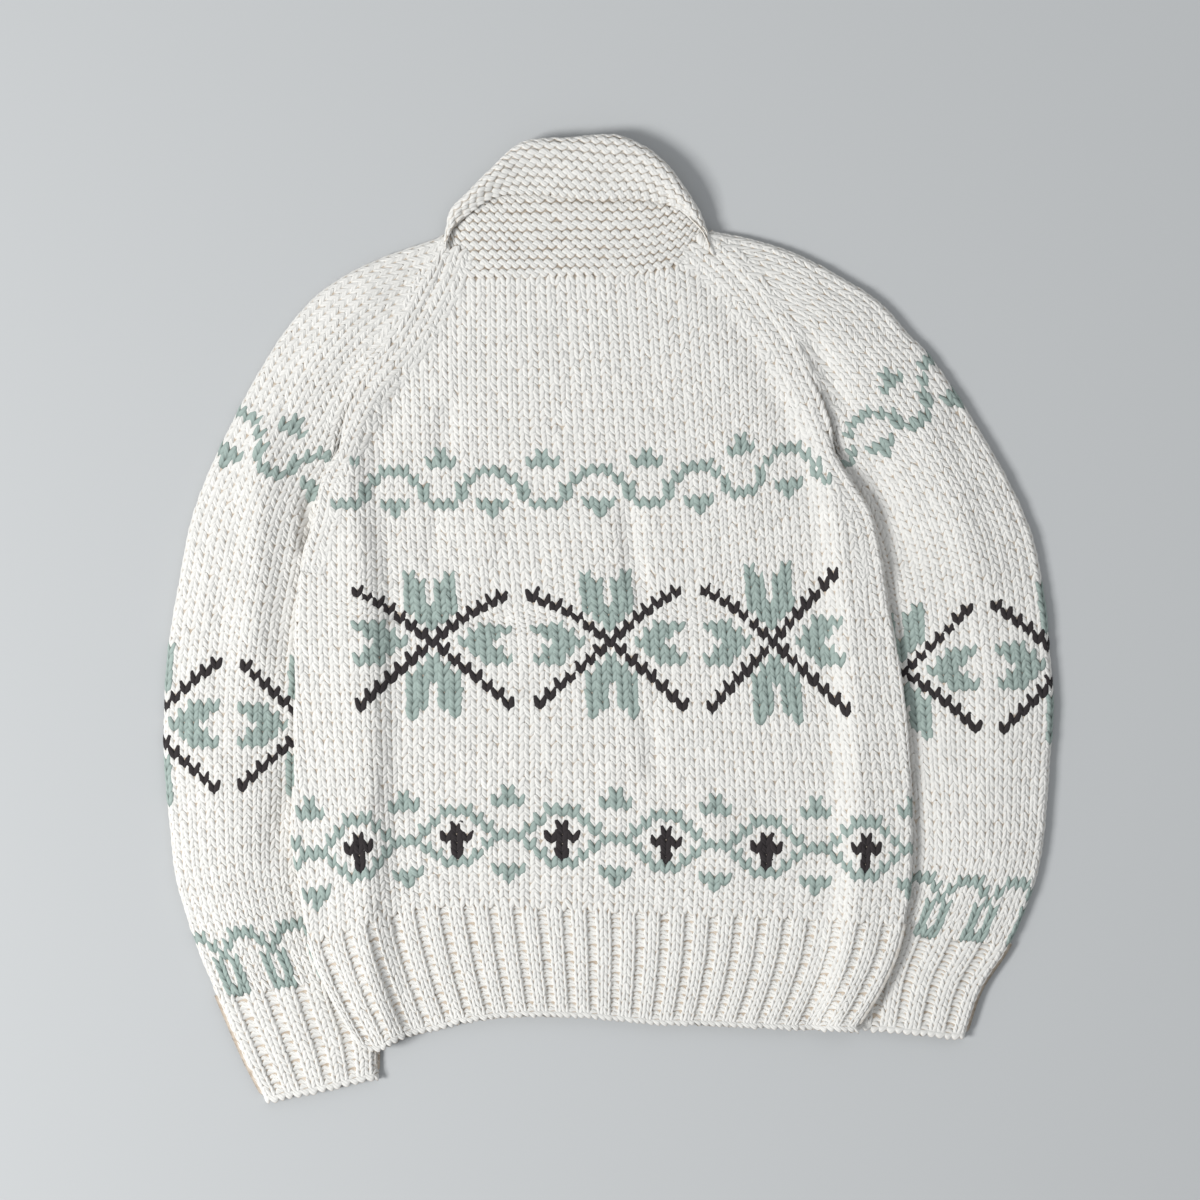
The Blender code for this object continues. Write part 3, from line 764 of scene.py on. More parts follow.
@dataclass
class BodyForm(ClothForm):
    """The face of the back or of one front."""

    layer: Layer = Layer.BACK
    side: Side | None = None

    def __post_init__(self) -> None:
        """Samples the lines that the rows follow."""
        self.facing = 1.0 if self.layer is Layer.BACK else -1.0
        self.lines = [dense(line) for line in GRID_LINES]
        self.knots = np.array(GRID_ROWS)

    def between(self, values: Array, row: Array) -> Array:
        """Reads values given on the placed rows at any row.

        Args:
            values: for each place, its value on each of the placed rows.
            row: the row of each place.

        Returns:
            The value at each place.
        """
        knots = self.knots
        slope = np.gradient(values, knots, axis=1)
        first = np.clip(np.searchsorted(knots, row, side="right") - 1, 0, len(knots) - 2)
        step = knots[first + 1] - knots[first]
        part = (row - knots[first]) / step
        inside = np.clip(part, 0, 1)
        each = np.arange(len(row))
        low, high = values[each, first], values[each, first + 1]
        low_slope, high_slope = slope[each, first], slope[each, first + 1]
        smooth = bend(low, high, low_slope * step, high_slope * step, inside)
        beyond = (part - inside) * step
        return smooth + beyond * np.where(part > 1, high_slope, low_slope)

    def plan(self, column: Array, row: Array) -> tuple[Array, Array]:
        """Places seen from above, as if the cloth went on flat past its side folds.

        Args:
            column: places across, in stitches.
            row: places along, in rows.

        Returns:
            How far each place is to the side, and how far up the body.
        """
        columns = np.array(GRID_COLUMNS, float)
        last = len(columns) - 2
        first = np.clip(np.searchsorted(columns, column, side="right") - 1, 0, last)
        part = (column - columns[first]) / (columns[first + 1] - columns[first])
        table = np.array(GRID_X)
        x = self.between((table[:, first] * (1 - part) + table[:, first + 1] * part).T, row)
        heights = [np.interp(x, line[:, 0], line[:, 1]) for line in self.lines]
        y = self.between(np.array(heights).T, row)
        slips = SLIPS if self.layer is Layer.BACK else ()
        for at_x, at_y, reach_x, reach_y, slip in slips:
            y = y + slip * np.exp(-(((x - at_x) / reach_x) ** 2) - ((y - at_y) / reach_y) ** 2)
        return x, y

    def edge(self, side: Side, y: Array) -> tuple[Array, Array]:
        """The body's edge at y, and how rounded it is there."""
        rounded = 1 - smooth_step(above_underarm(side, y) / ROUND_END)
        return OUTLINE.side_x(side, y), rounded

    def at(self, column: Array, row: Array) -> Array:
        """Points of the face. See ClothForm."""
        return self.lay(*self.plan(column, row))

    def lay(self, x: Array, y: Array) -> Array:
        """Lays cloth on the face.

        Args:
            x: places to the side, as if the cloth went on flat past its side folds.
            y: places up the body.

        Returns:
            The points of the face.
        """
        drop = np.zeros_like(x)
        for side in Side:
            edge, rounded = self.edge(side, y)
            flat = side.inward * (x - edge)
            distance, turned = rounded_edge(flat)
            reach = np.maximum(flat, 0) * (1 - rounded) + distance * rounded
            x = np.where(flat < HALF_STACK, edge + side.inward * reach, x)
            drop = drop + turned * rounded
        return np.column_stack([x, y, face_height(self.layer, x, y, drop)])

    def room(self, column: Array, row: Array) -> tuple[Array, Array]:
        """How far places are inside the piece's borders.

        Args:
            column: places across, in stitches.
            row: places along, in rows.

        Returns:
            The distances from the left and from the right border, in metres.
        """
        x, y = self.plan(column, row)
        rooms = []
        for side in Side:
            if self.side is None or self.side is side:
                edge, rounded = self.edge(side, y)
                rooms.append(side.inward * (x - edge) + FOLD_REACH * rounded)
            else:
                rooms.append(side.inward * (x - OUTLINE.seam_x(self.side, y)) - SEAM_GAP / 2)
        return rooms[0], rooms[1]

    def borders(self, rows: Array) -> tuple[Array, Array]:
        """Finds the columns at which the piece begins and ends.

        Args:
            rows: the rows that are measured.

        Returns:
            The first and the last column of each row.
        """
        count = 2 * MOST_COLUMNS * COLUMN_PARTS + 1
        columns = np.linspace(-MOST_COLUMNS, MOST_COLUMNS, count)
        left, right = [], []
        for row in rows:
            rooms = self.room(columns, np.full(len(columns), row))
            left.append(np.interp(0, rooms[0], columns))
            right.append(-np.interp(0, rooms[1][::-1], -columns[::-1]))
        return np.array(left), np.array(right)


@dataclass
class RaglanForm(ClothForm):
    """The strip of the body's face that follows a raglan seam. Column 0 is at the seam."""

    body: BodyForm
    side: Side

    def __post_init__(self) -> None:
        """Measures the strip from where it comes out of the body's side to the neck."""
        self.facing = float(self.side.inward)
        neck = NECK[0] if self.side is Side.LEFT else NECK[-1]
        y = np.linspace(STRIP_START[self.side.value], neck[1], RAGLAN_POINTS)
        line = np.column_stack([OUTLINE.side_x(self.side, y), y])
        step = np.diff(line, axis=0)
        self.length = np.concatenate([[0], np.linalg.norm(step, axis=1).cumsum()])
        self.rows = self.length[-1] / ROW_HEIGHT
        along_it = np.gradient(line, self.length, axis=0)
        self.line = line
        self.heading = along_it[-1]
        self.inwards = np.column_stack([along_it[:, 1], -along_it[:, 0]]) * self.side.inward

    def at(self, column: Array, row: Array) -> Array:
        """Points of the face. See ClothForm."""
        length = row * ROW_HEIGHT
        seam = np.column_stack([np.interp(length, self.length, p) for p in self.line.T])
        inwards = np.column_stack([np.interp(length, self.length, p) for p in self.inwards.T])
        beyond = np.maximum(length - self.length[-1], 0)[:, None]
        seam = seam + self.heading * beyond
        plan = seam + inwards * (column * STITCH_WIDTH + SEAM_GAP / 2)[:, None]
        points = self.body.lay(plan[:, 0], plan[:, 1])
        past = np.minimum(column, 0) * STITCH_WIDTH * (1 - self.body.edge(self.side, seam[:, 1])[1])
        points[:, :2] += inwards * past[:, None]
        return points

    def distance(self, x: Array, y: Array) -> Array:
        """How far places in plan are from the seam, in columns."""
        points = np.column_stack([x, y])[:, None]
        apart = np.linalg.norm(points - self.line[None, ::RAGLAN_SKIP], axis=2)
        return apart.min(axis=1) / STITCH_WIDTH


@dataclass
class SleeveForm(ClothForm):
    """The face of one sleeve, all round its tube. Column 0 is at the outer fold."""

    side: Side = Side.LEFT
    start: float = 0.0
    stop: float = SLEEVE_END

    def __post_init__(self) -> None:
        """Measures the sleeve along its length, in rows of stitches."""
        self.facing = float(self.side.inward)
        self.table = np.array(SLEEVE[self.side.value], float)
        self.places = np.linspace(self.start, self.stop, SLEEVE_POINTS)
        found = curve(self.table, np.arange(float(len(self.table))), self.places)
        self.outer, self.inner = found[:, :2], found[:, 2:]
        middle = self.outer * OUTER_SHARE + self.inner * (1 - OUTER_SHARE)
        step = np.linalg.norm(np.diff(middle, axis=0), axis=1)
        self.length = np.concatenate([[0], step.cumsum()])
        self.rows = self.length[-1] / SLEEVE_ROW_HEIGHT
        self.hidden = np.array([self.covered(o, i) for o, i in zip(self.outer, self.inner)])
        edge = np.gradient(self.outer, axis=0)
        edge = edge / np.linalg.norm(edge, axis=1, keepdims=True)
        across = self.inner - self.outer
        across = across / np.linalg.norm(across, axis=1, keepdims=True)
        row = self.length / SLEEVE_ROW_HEIGHT
        fade = smooth_step((row - SLANT_START) / SLANT_EASE)
        fade = fade * smooth_step((self.rows - row) / SLANT_FADE)
        square = (edge * across).sum(axis=1) * STITCH_WIDTH / SLEEVE_ROW_HEIGHT
        slant = -np.clip(square, -SLANT_MOST, SLANT_MOST) * fade
        window = np.hanning(SLANT_WINDOW)
        padded = np.pad(slant, SLANT_WINDOW // 2, mode="edge")
        self.slant = np.convolve(padded, window / window.sum(), mode="valid")
        heading = np.gradient(middle, axis=0)
        self.heading = heading / np.linalg.norm(heading, axis=1, keepdims=True)

    def covered(self, outer: Array, inner: Array) -> float:
        """The share of the width that the body covers, from the inner edge."""
        share = np.linspace(0, 1, WIDTH_POINTS)[:, None]
        points = inner + (outer - inner) * share
        edge = OUTLINE.edge[self.side.value]
        body = np.interp(points[:, 1], edge[:, 1], edge[:, 0], left=np.nan, right=np.nan)
        past = self.side.inward * (points[:, 0] - body)
        return float(np.mean(past > -HALF_STACK))

    def place(self, row: Array) -> Array:
        """The place in the table of sections at each row."""
        return np.interp(row * SLEEVE_ROW_HEIGHT, self.length, self.places)

    def section(self, row: Array) -> tuple[Array, Array, Array, Array]:
        """The outer point, the inner point, the place and the width at each row."""
        place = self.place(row)
        outer = np.column_stack([np.interp(place, self.places, p) for p in self.outer.T])
        inner = np.column_stack([np.interp(place, self.places, p) for p in self.inner.T])
        length = row * SLEEVE_ROW_HEIGHT
        beyond = (length - np.clip(length, 0, self.length[-1]))[:, None]
        beyond = np.where(beyond < 0, self.heading[0], self.heading[-1]) * beyond
        return outer + beyond, inner + beyond, place, np.linalg.norm(outer - inner, axis=1)

    def pitch(self, row: Array) -> Array:
        """How wide a stitch is on each row."""
        share = CUFF_STITCH_SHARE + (1 - CUFF_STITCH_SHARE) * smooth_step(row / CUFF_EASE_ROWS)
        return STITCH_WIDTH * share

    def level(self, column: Array, row: Array) -> Array:
        """The length, in rows, at which a stitch lies: the rows run square to the columns."""
        slant = np.interp(row * SLEEVE_ROW_HEIGHT, self.length, self.slant)
        return np.clip(row + slant * column, -1, self.rows + 1)

    def at(self, column: Array, row: Array) -> Array:
        """Points of the face. See ClothForm."""
        level = self.level(column, row)
        outer, inner, place, width = self.section(level)
        round_it = column * self.pitch(row)
        distance, turned = rounded_edge(np.abs(round_it) - FOLD_REACH)
        upper = round_it > 0
        above = np.maximum(place - UNDERARM_ROW[self.side.value], 0)
        rounded = 1 - smooth_step(above / SLEEVE_ROUND_END)
        beyond = width - distance
        near, near_turned = rounded_edge(np.maximum(beyond, -FOLD_REACH))
        near = np.maximum(beyond, 0) * (1 - rounded) + near * rounded
        distance = np.where(beyond < HALF_STACK, width - near, distance)
        turned = turned + np.where(beyond < HALF_STACK, near_turned * rounded, 0)
        share = np.clip(distance / width, 0, 1)[:, None]
        plan = outer + (inner - outer) * share
        x, y = plan.T
        raised = self.raise_upper(x, y, place, 1 - share[:, 0], width, inner[:, 1], above)
        top = STACK + raised - turned * (1 + raised / HALF_STACK)
        z = np.where(upper, top, turned)
        return np.column_stack([x, y, z])

    def raise_upper(
        self, x: Array, y: Array, place: Array, out: Array, width: Array, seam_y: Array, above: Array
    ) -> Array:
        """How far the upper side is raised over the lower one.

        Args:
            x: places to the side.
            y: places along the garment.
            place: places in the table of sections.
            out: the share of the width out from the inner edge.
            width: the sleeve's width.
            seam_y: how high the raglan seam is at each place.
            above: how far above the underarm, in rows of the table.

        Returns:
            The height at each place.
        """
        hidden = np.interp(place, self.places, self.hidden)
        bare = np.clip((out - hidden) / (1 - hidden), 0, 1)
        past_cuff = smooth_step((place - CUFF_TOP_ROW[self.side.value]) / CUFF_SWELL)
        loft = CUFF_LOFT + (SLEEVE_LOFT - CUFF_LOFT) * past_cuff
        loft = loft * np.clip(width / SLEEVE_EASE, 0, 1)
        raised = np.maximum(loft + folds(x, y) * past_cuff, 0) * np.sin(np.pi * bare)
        raised = raised + folds(x, y, CREASES) * past_cuff
        fall = smooth_step(above_underarm(self.side, seam_y) / CLIMB_END_BACK)
        ridge = (CLIMB + (RAGLAN_RIDGE - CLIMB) * fall) * smooth_step(above / RIDGE_START)
        return raised + ridge * (1 - smooth_step((out * width - HALF_STACK) / RAGLAN_SLOPE))

    def reach(self, column: Array, row: Array) -> Array:
        """How many columns the cloth goes round from the outer fold to the inner edge."""
        _, _, place, width = self.section(self.level(column, row))
        above = np.maximum(place - UNDERARM_ROW[self.side.value], 0)
        rounded = 1 - smooth_step(above / SLEEVE_ROUND_END)
        round_it = width + FOLD_REACH + FOLD_REACH * rounded
        return round_it / self.pitch(row)

    def border(self, row: Array, way: int) -> Array:
        """The column at which the cloth ends on the upper side, or on the lower one."""
        column = np.zeros_like(row)
        for _ in range(BORDER_ROUNDS):
            column = way * self.reach(column, row)
        return column


@dataclass
class SleeveSeamForm(ClothForm):
    """The strip of a sleeve's upper side that follows its raglan seam, at column 0."""

    sleeve: SleeveForm

    def __post_init__(self) -> None:
        """Sets which way the face points."""
        self.facing = -self.sleeve.facing

    def at(self, column: Array, row: Array) -> Array:
        """Points of the face. See ClothForm."""
        return self.sleeve.at(self.sleeve.border(row, 1) - column, row)


def rib_columns(column: Array) -> tuple[Array, Array]:
    """Spaces columns of the rib: two knit ones and a narrower purl one.

    Args:
        column: places across, in columns of the rib.

    Returns:
        The place across in ribs, and how far the cloth is sunk there, from 0 to 1.
    """
    whole = np.floor(column / 3)
    inside = column - whole * 3
    share = np.interp(inside, [0, 1, 2, 3], [0, KNIT_SHARE, 2 * KNIT_SHARE, 1])
    from_knit = np.abs(share - KNIT_SHARE)
    from_knit = np.minimum(from_knit, 1 - from_knit)
    return whole + share, smooth_step((from_knit - SINK_FROM) / SINK_OVER)


@dataclass
class HemForm(ClothForm):
    """The face of a hem rib between four lines. It is read in columns of the rib."""

    left: Array
    right: Array
    bottom: Array
    top: Array
    ribs: float
    rows: float
    layer: Layer
    folded: tuple[bool, bool]

    def __post_init__(self) -> None:
        """Sets which way the face points."""
        self.facing = 1.0 if self.layer is Layer.BACK else -1.0

    def at(self, column: Array, row: Array) -> Array:
        """Points of the face. See ClothForm."""
        ribs, sunk = rib_columns(column)
        up = np.clip(row / self.rows, 0, 1)
        left, right = along(self.left, up), along(self.right, up)
        width = np.linalg.norm(right - left, axis=1)
        reach = [FOLD_REACH if folded else -SEAM_GAP / 2 for folded in self.folded]
        flat = -reach[0] + ribs / self.ribs * (width + reach[0] + reach[1])
        drop = np.zeros_like(flat)
        distance = flat
        if self.folded[0]:
            distance, drop = rounded_edge(flat)
        if self.folded[1]:
            other, turned = rounded_edge(width - distance)
            distance, drop = width - other, drop + turned
        share = distance / width
        low, high = along(self.bottom, np.clip(share, 0, 1)), along(self.top, np.clip(share, 0, 1))
        share, up = share[:, None], up[:, None]
        ruled = left * (1 - share) + right * share
        ends = [along(line, np.array([0.0, 1.0])) for line in (self.bottom, self.top)]
        corners = (1 - up) * ((1 - share) * ends[0][0] + share * ends[0][1])
        corners = corners + up * ((1 - share) * ends[1][0] + share * ends[1][1])
        plan = ruled + (1 - up) * low + up * high - corners
        down = (self.top[0] - self.bottom[0]) / np.linalg.norm(self.top[0] - self.bottom[0])
        plan = plan + down * (np.reshape(row / self.rows, (-1, 1)) - up) * ROW_HEIGHT * self.rows
        x, y = plan.T
        sink = sunk * RIB_DEPTH * smooth_step(row / RIB_SET_IN)
        z = face_height(self.layer, x, y, drop) - self.facing * sink
        return np.column_stack([x, y, z])


@dataclass
class CuffForm(SleeveForm):
    """The face of a cuff, all round its tube, read in columns of the rib."""

    ribs: int = CUFF_RIBS

    def at(self, column: Array, row: Array) -> Array:
        """Points of the face. See ClothForm."""
        ribs, sunk = rib_columns(column)
        stitches = ribs / self.ribs * self.reach(np.zeros_like(row), row)
        points = super().at(stitches, row)
        sink = sunk * RIB_DEPTH * smooth_step(row / RIB_SET_IN)
        points[:, 2] += np.where(stitches > 0, -sink, sink)
        return points


@dataclass
class SampledForm(ClothForm):
    """A face read from a grid of its points."""

    grid: Array
    columns: float
    rows: float
    facing: float = 1.0

    def at(self, column: Array, row: Array) -> Array:
        """Points of the face. See ClothForm."""
        down, across = self.grid.shape[:2]
        v = row / self.rows * (down - 1)
        u = column / self.columns * (across - 1)
        i = np.clip(np.floor(v).astype(int), 0, down - 2)
        j = np.clip(np.floor(u).astype(int), 0, across - 2)
        s, t = (v - i)[:, None], (u - j)[:, None]
        low = self.grid[i, j] * (1 - t) + self.grid[i, j + 1] * t
        high = self.grid[i + 1, j] * (1 - t) + self.grid[i + 1, j + 1] * t
        return low * (1 - s) + high * s


# How high a strand stands, and how full its section is: 1 is a half circle, and less is
# flatter on top.
STRAND_HEIGHT = SHELL_DEPTH + 0.0002
FULLNESS = 0.65

# How wide a strand's ends are as a share of its middle, how far along the swell between them
# is cut off at each end, and how soon it fills out: less is sooner.
END_WIDTH = 0.28
SWELL_CUT = 0.10
SWELL_POWER = 0.8


@dataclass(frozen=True)
class Strand:
    """One visible strand of a stitch, as half a tube, in columns, rows and metres.

    The strand runs from its foot to its tip with a bow to the side, and is widest in its middle.
    """

    foot: tuple[float, float]
    tip: tuple[float, float]
    bow: tuple[float, float]
    half_width: float
    foot_sunk: float
    tip_sunk: float
    across: int = 4
    lengths: int = 4

    def shape(self, bm: bmesh.types.BMesh) -> list[bmesh.types.BMVert]:
        """Adds the strand to a mesh.

        Args:
            bm: the mesh that takes it.

        Returns:
            The strand's points.
        """
        uv = bm.loops.layers.uv.verify()
        sunk = bm.verts.layers.float.get("sunk") or bm.verts.layers.float.new("sunk")
        made = bmesh.ops.create_grid(
            bm, x_segments=self.across, y_segments=self.lengths, size=0.5, calc_uvs=True
        )
        verts = made["verts"]
        faces = {face for vert in verts for face in vert.link_faces}
        for face in faces:
            for loop in face.loops:
                loop[uv].uv = (loop.vert.co.x + 0.5, loop.vert.co.y + 0.5)
        run = np.subtract(self.tip, self.foot)
        out_u, out_v = np.array([run[1], -run[0]]) / np.linalg.norm(run)
        for vert in verts:
            t, turn = vert.co.y + 0.5, (vert.co.x + 0.5) * np.pi
            swell = np.sin(np.pi * (SWELL_CUT + (1 - 2 * SWELL_CUT) * t)) ** SWELL_POWER
            width = self.half_width * (END_WIDTH + (1 - END_WIDTH) * swell)
            lean = np.sin(np.pi * t)
            side = -width * np.cos(turn)
            u = self.foot[0] + run[0] * t + self.bow[0] * lean + side * out_u
            v = self.foot[1] + run[1] * t + self.bow[1] * lean + side * out_v
            crown = 1 - self.foot_sunk * (1 - t) ** 3 - self.tip_sunk * t**3
            crown *= max(np.sin(turn), 0) ** FULLNESS
            vert.co = (u, v, STRAND_HEIGHT * (crown - 1))
            # How far the point lies below the crown, by which the yarn's material paints shade on
            # the strand.
            vert[sunk] = 1 - crown
        return verts


@dataclass(frozen=True)
class Stitch:
    """A stitch: strands that are repeated over a face of cloth."""

    strands: tuple[Strand, ...]
    mirrored: bool = True

    def template(self) -> bpy.types.Mesh:
        """The stitch as a small mesh, centred on column 0 with its foot on row 0."""
        bm = bmesh.new()
        for strand in self.strands:
            strand.shape(bm)
            if self.mirrored:
                copied = bmesh.ops.duplicate(bm, geom=bm.faces[:])
                verts = [part for part in copied["geom"] if isinstance(part, bmesh.types.BMVert)]
                faces = [part for part in copied["geom"] if isinstance(part, bmesh.types.BMFace)]
                bmesh.ops.scale(bm, vec=(-1, 1, 1), verts=verts)
                bmesh.ops.reverse_faces(bm, faces=faces)
        mesh = bpy.data.meshes.new("stitch")
        bm.to_mesh(mesh)
        bm.free()
        return mesh

    def coarser(self, across: int, lengths: int) -> Stitch:
        """The same stitch with fewer faces, for the sides that are hidden."""
        strands = (replace(strand, across=across, lengths=lengths) for strand in self.strands)
        return replace(self, strands=tuple(strands))


# The stitches, whose strands are given by foot, tip, bow, half width, and how far the foot and the
# tip are sunk. A knit stitch has the mirrored strand as its other leg.
KNIT = Stitch((Strand((0.06, -0.33), (0.46, 1.05), (0.03, 0.0), 0.315, 0.75, 0.35),))
KNIT_HIDDEN = KNIT.coarser(2, 2)
RIB_KNIT = Stitch((Strand((0.07, -0.32), (0.40, 1.04), (0.04, 0.0), 0.32, 0.75, 0.35),))
PURL_BUMP = Stitch(
    (
        Strand((-0.55, 0.12), (0.55, 0.30), (0.0, 0.20), 0.32, 0.3, 0.3),
        Strand((-0.50, 0.74), (0.52, 0.62), (0.0, 0.16), 0.27, 0.4, 0.4, across=3),
    ),
    mirrored=False,
)
PURL_HIDDEN = PURL_BUMP.coarser(2, 3)
CAST_ON = Stitch(
    (Strand((-0.56, -0.12), (0.56, -0.12), (0.0, -0.22), 0.42, 0.4, 0.4, lengths=6),),
    mirrored=False,
)
GARTER_BUMP = Stitch(
    (
        Strand((-0.50, 0.32), (0.50, 0.32), (0.0, 0.15), 0.38, 0.6, 0.6, lengths=7),
        Strand((0.02, 0.20), (0.98, 0.20), (0.0, -0.17), 0.36, 0.75, 0.75, lengths=7),
    ),
    mirrored=False,
)


@dataclass(frozen=True)
class Chart:
    """A small colour-work chart, top row first: s is sage, c is charcoal, a dot is cream."""

    rows: tuple[str, ...]
    middle_row: int
    repeats: bool

    def paint(self, colours: Array, column: int, row: int, first_column: int) -> None:
        """Works the chart into a grid of colours.

        Args:
            colours: the yarn of each stitch, by row and column, changed in place.
            column: the column of the chart's middle, or of its first column where it repeats.
            row: the row of the chart's middle row.
            first_column: the column that the grid begins with.
        """
        wide = len(self.rows[0])
        codes = {"s": Yarn.SAGE.value, "c": Yarn.CHARCOAL.value}
        for down, text in enumerate(self.rows):
            at_row = row + self.middle_row - down
            if not 0 <= at_row < colours.shape[0]:
                continue
            for at_column in range(colours.shape[1]):
                across = at_column + first_column - column
                across = across % wide if self.repeats else across + wide // 2
                if 0 <= across < wide and text[across] in codes:
                    colours[at_row, at_column] = codes[text[across]]


LEAF_STAR_TOP = (
    ".....s...s.....",
    "c....ss.ss....c",
    ".c...ss.ss...c.",
    "..c..ss.ss..c..",
    "...c.sssss.c...",
    "....c.sss.c....",
    "sss..c.s.c..sss",
    ".sss..c.c..sss.",
)
LEAF_STAR = Chart(
    (*LEAF_STAR_TOP, "..sss..c..sss..", *LEAF_STAR_TOP[::-1]), middle_row=8, repeats=False
)
CHAIN_BAND = Chart(
    (
        "s.........",
        "ss.......s",
        "....sss...",
        "...s...s..",
        "..s..c..s.",
        "ss..ccc..s",
        "..s..c..s.",
        "...s.c.s..",
        "....sss...",
        "ss.......s",
        "s.........",
    ),
    middle_row=5,
    repeats=True,
)
WAVE_BAND = Chart(
    (
        ".....s....",
        "....sss...",
        "ss.......s",
        "..s.....s.",
        "...s...s..",
        "...s...s..",
        "ss..sss..s",
        "s.........",
    ),
    middle_row=2,
    repeats=True,
)
DROP_BAND = Chart(
    (
        "ss...s",
        "..s.s.",
        "...s..",
        "..s.s.",
        "..s.s.",
        "..s.s.",
        "..sss.",
    ),
    middle_row=0,
    repeats=True,
)

# Where each chart lies on each sleeve: its middle column, or its first one where it repeats,
# and its middle row.
SLEEVE_CHARTS: dict[str, tuple[tuple[Chart, int, int], ...]] = {
    "left": (
        (DROP_BAND, 6, 6),
        (LEAF_STAR, -18, 29),
        (LEAF_STAR, -2, 29),
        (LEAF_STAR, 15, 29),
        (WAVE_BAND, 1, 62),
    ),
    "right": (
        (DROP_BAND, 2, 6),
        (LEAF_STAR, -19, 30),
        (LEAF_STAR, -2, 30),
        (LEAF_STAR, 15, 30),
        (WAVE_BAND, 0, 63),
    ),
}


Colour = tuple[float, float, float]


@dataclass(frozen=True)
class Finish:
    """The look of a matt surface whose colour goes from one tone to a darker one, painted as the
    shade in its hollows.
    """

    name: str
    colour: Colour
    # The darker colour, painted shade in the hollows between strands and loops.
    pit_shade: Colour
    roughness: float = 0.95
    specular: float = 0.15
    bump_strength: float = 0.5
    bump_depth: float = 0.001

    def start(self) -> bpy.types.Material:
        """Makes the material with its roughness and its highlight."""
        material = bpy.data.materials.new(self.name)
        material.use_nodes = True
        shader = material.node_tree.nodes["Principled BSDF"]
        shader.inputs["Roughness"].default_value = self.roughness
        shader.inputs["Specular IOR Level"].default_value = self.specular
        return material

    def tones(
        self, tree: bpy.types.NodeTree, ends: tuple[float, float], colours: tuple[Colour, Colour]
    ) -> bpy.types.Node:
        """Adds a ramp between two colours.

        Args:
            tree: the material's nodes.
            ends: where on the ramp the first colour ends and the second begins.
            colours: the two colours.

        Returns:
            The ramp.
        """
        ramp = tree.nodes.new("ShaderNodeValToRGB")
        for element, place, colour in zip(ramp.color_ramp.elements, ends, colours):
            element.position = place
            element.color = (*colour, 1)
        return ramp

    def emboss(self, tree: bpy.types.NodeTree, height: bpy.types.NodeSocket) -> None:
        """Raises the surface a little by a pattern.

        Args:
            tree: the material's nodes.
            height: the pattern.
        """
        bump = tree.nodes.new("ShaderNodeBump")
        bump.inputs["Strength"].default_value = self.bump_strength
        bump.inputs["Distance"].default_value = self.bump_depth
        tree.links.new(height, bump.inputs["Height"])
        tree.links.new(bump.outputs["Normal"], tree.nodes["Principled BSDF"].inputs["Normal"])


@dataclass(frozen=True)
class YarnFinish(Finish):
    """The look of one yarn: soft, thick and loosely plied."""

    roughness: float = 0.88
    specular: float = 0.25
    bump_strength: float = 0.35
    bump_depth: float = 0.0006
    # How sunk a strand must be before its colour starts to turn to the painted shade.
    pit_shade_start: float = 0.55
    sheen: float = 0.15
    sheen_roughness: float = 0.5
    ply_turn: float = 0.62
    ply_stretch: float = 0.7
    ply_scale: float = 1.3
    ply_distortion: float = 1.2
    ply_detail: float = 1.0
    fibre_scale: float = 1400
    fibre_detail: float = 2
    fibre_share: float = 0.5

    def material(self) -> bpy.types.Material:
        """Builds the yarn's material, which paints shade on each strand by how far it is sunk, and
        reads how light each stitch is at random.
        """
        material = self.start()
        tree = material.node_tree
        nodes, links = tree.nodes, tree.links
        shader = nodes["Principled BSDF"]
        shader.inputs["Sheen Weight"].default_value = self.sheen
        shader.inputs["Sheen Roughness"].default_value = self.sheen_roughness

        # Painted shade: the yarn turns to its darker colour where the strand sinks to its sides and
        # ends.
        sunk = nodes.new("ShaderNodeAttribute")
        sunk.attribute_name = "sunk"
        ramp = self.tones(tree, (self.pit_shade_start, 1.0), (self.colour, self.pit_shade))
        links.new(sunk.outputs["Fac"], ramp.inputs["Fac"])
        shade = nodes.new("ShaderNodeAttribute")
        shade.attribute_name = "shade"
        tone = nodes.new("ShaderNodeHueSaturation")
        links.new(shade.outputs["Fac"], tone.inputs["Value"])
        links.new(ramp.outputs["Color"], tone.inputs["Color"])
        links.new(tone.outputs["Color"], shader.inputs["Base Color"])

        uv = nodes.new("ShaderNodeUVMap")
        twist = nodes.new("ShaderNodeMapping")
        twist.inputs["Rotation"].default_value = (0, 0, self.ply_turn)
        twist.inputs["Scale"].default_value = (self.ply_stretch, 1.0, 1.0)
        plies = nodes.new("ShaderNodeTexWave")
        plies.inputs["Scale"].default_value = self.ply_scale
        plies.inputs["Distortion"].default_value = self.ply_distortion
        plies.inputs["Detail"].default_value = self.ply_detail
        links.new(uv.outputs["UV"], twist.inputs["Vector"])
        links.new(twist.outputs["Vector"], plies.inputs["Vector"])
        place = nodes.new("ShaderNodeTexCoord")
        fibre = nodes.new("ShaderNodeTexNoise")
        fibre.inputs["Scale"].default_value = self.fibre_scale
        fibre.inputs["Detail"].default_value = self.fibre_detail
        links.new(place.outputs["Object"], fibre.inputs["Vector"])
        both = nodes.new("ShaderNodeMath")
        both.operation = "MULTIPLY_ADD"
        both.inputs[1].default_value = self.fibre_share
        links.new(fibre.outputs["Fac"], both.inputs[0])
        links.new(plies.outputs["Fac"], both.inputs[2])
        self.emboss(tree, both.outputs["Value"])
        return material


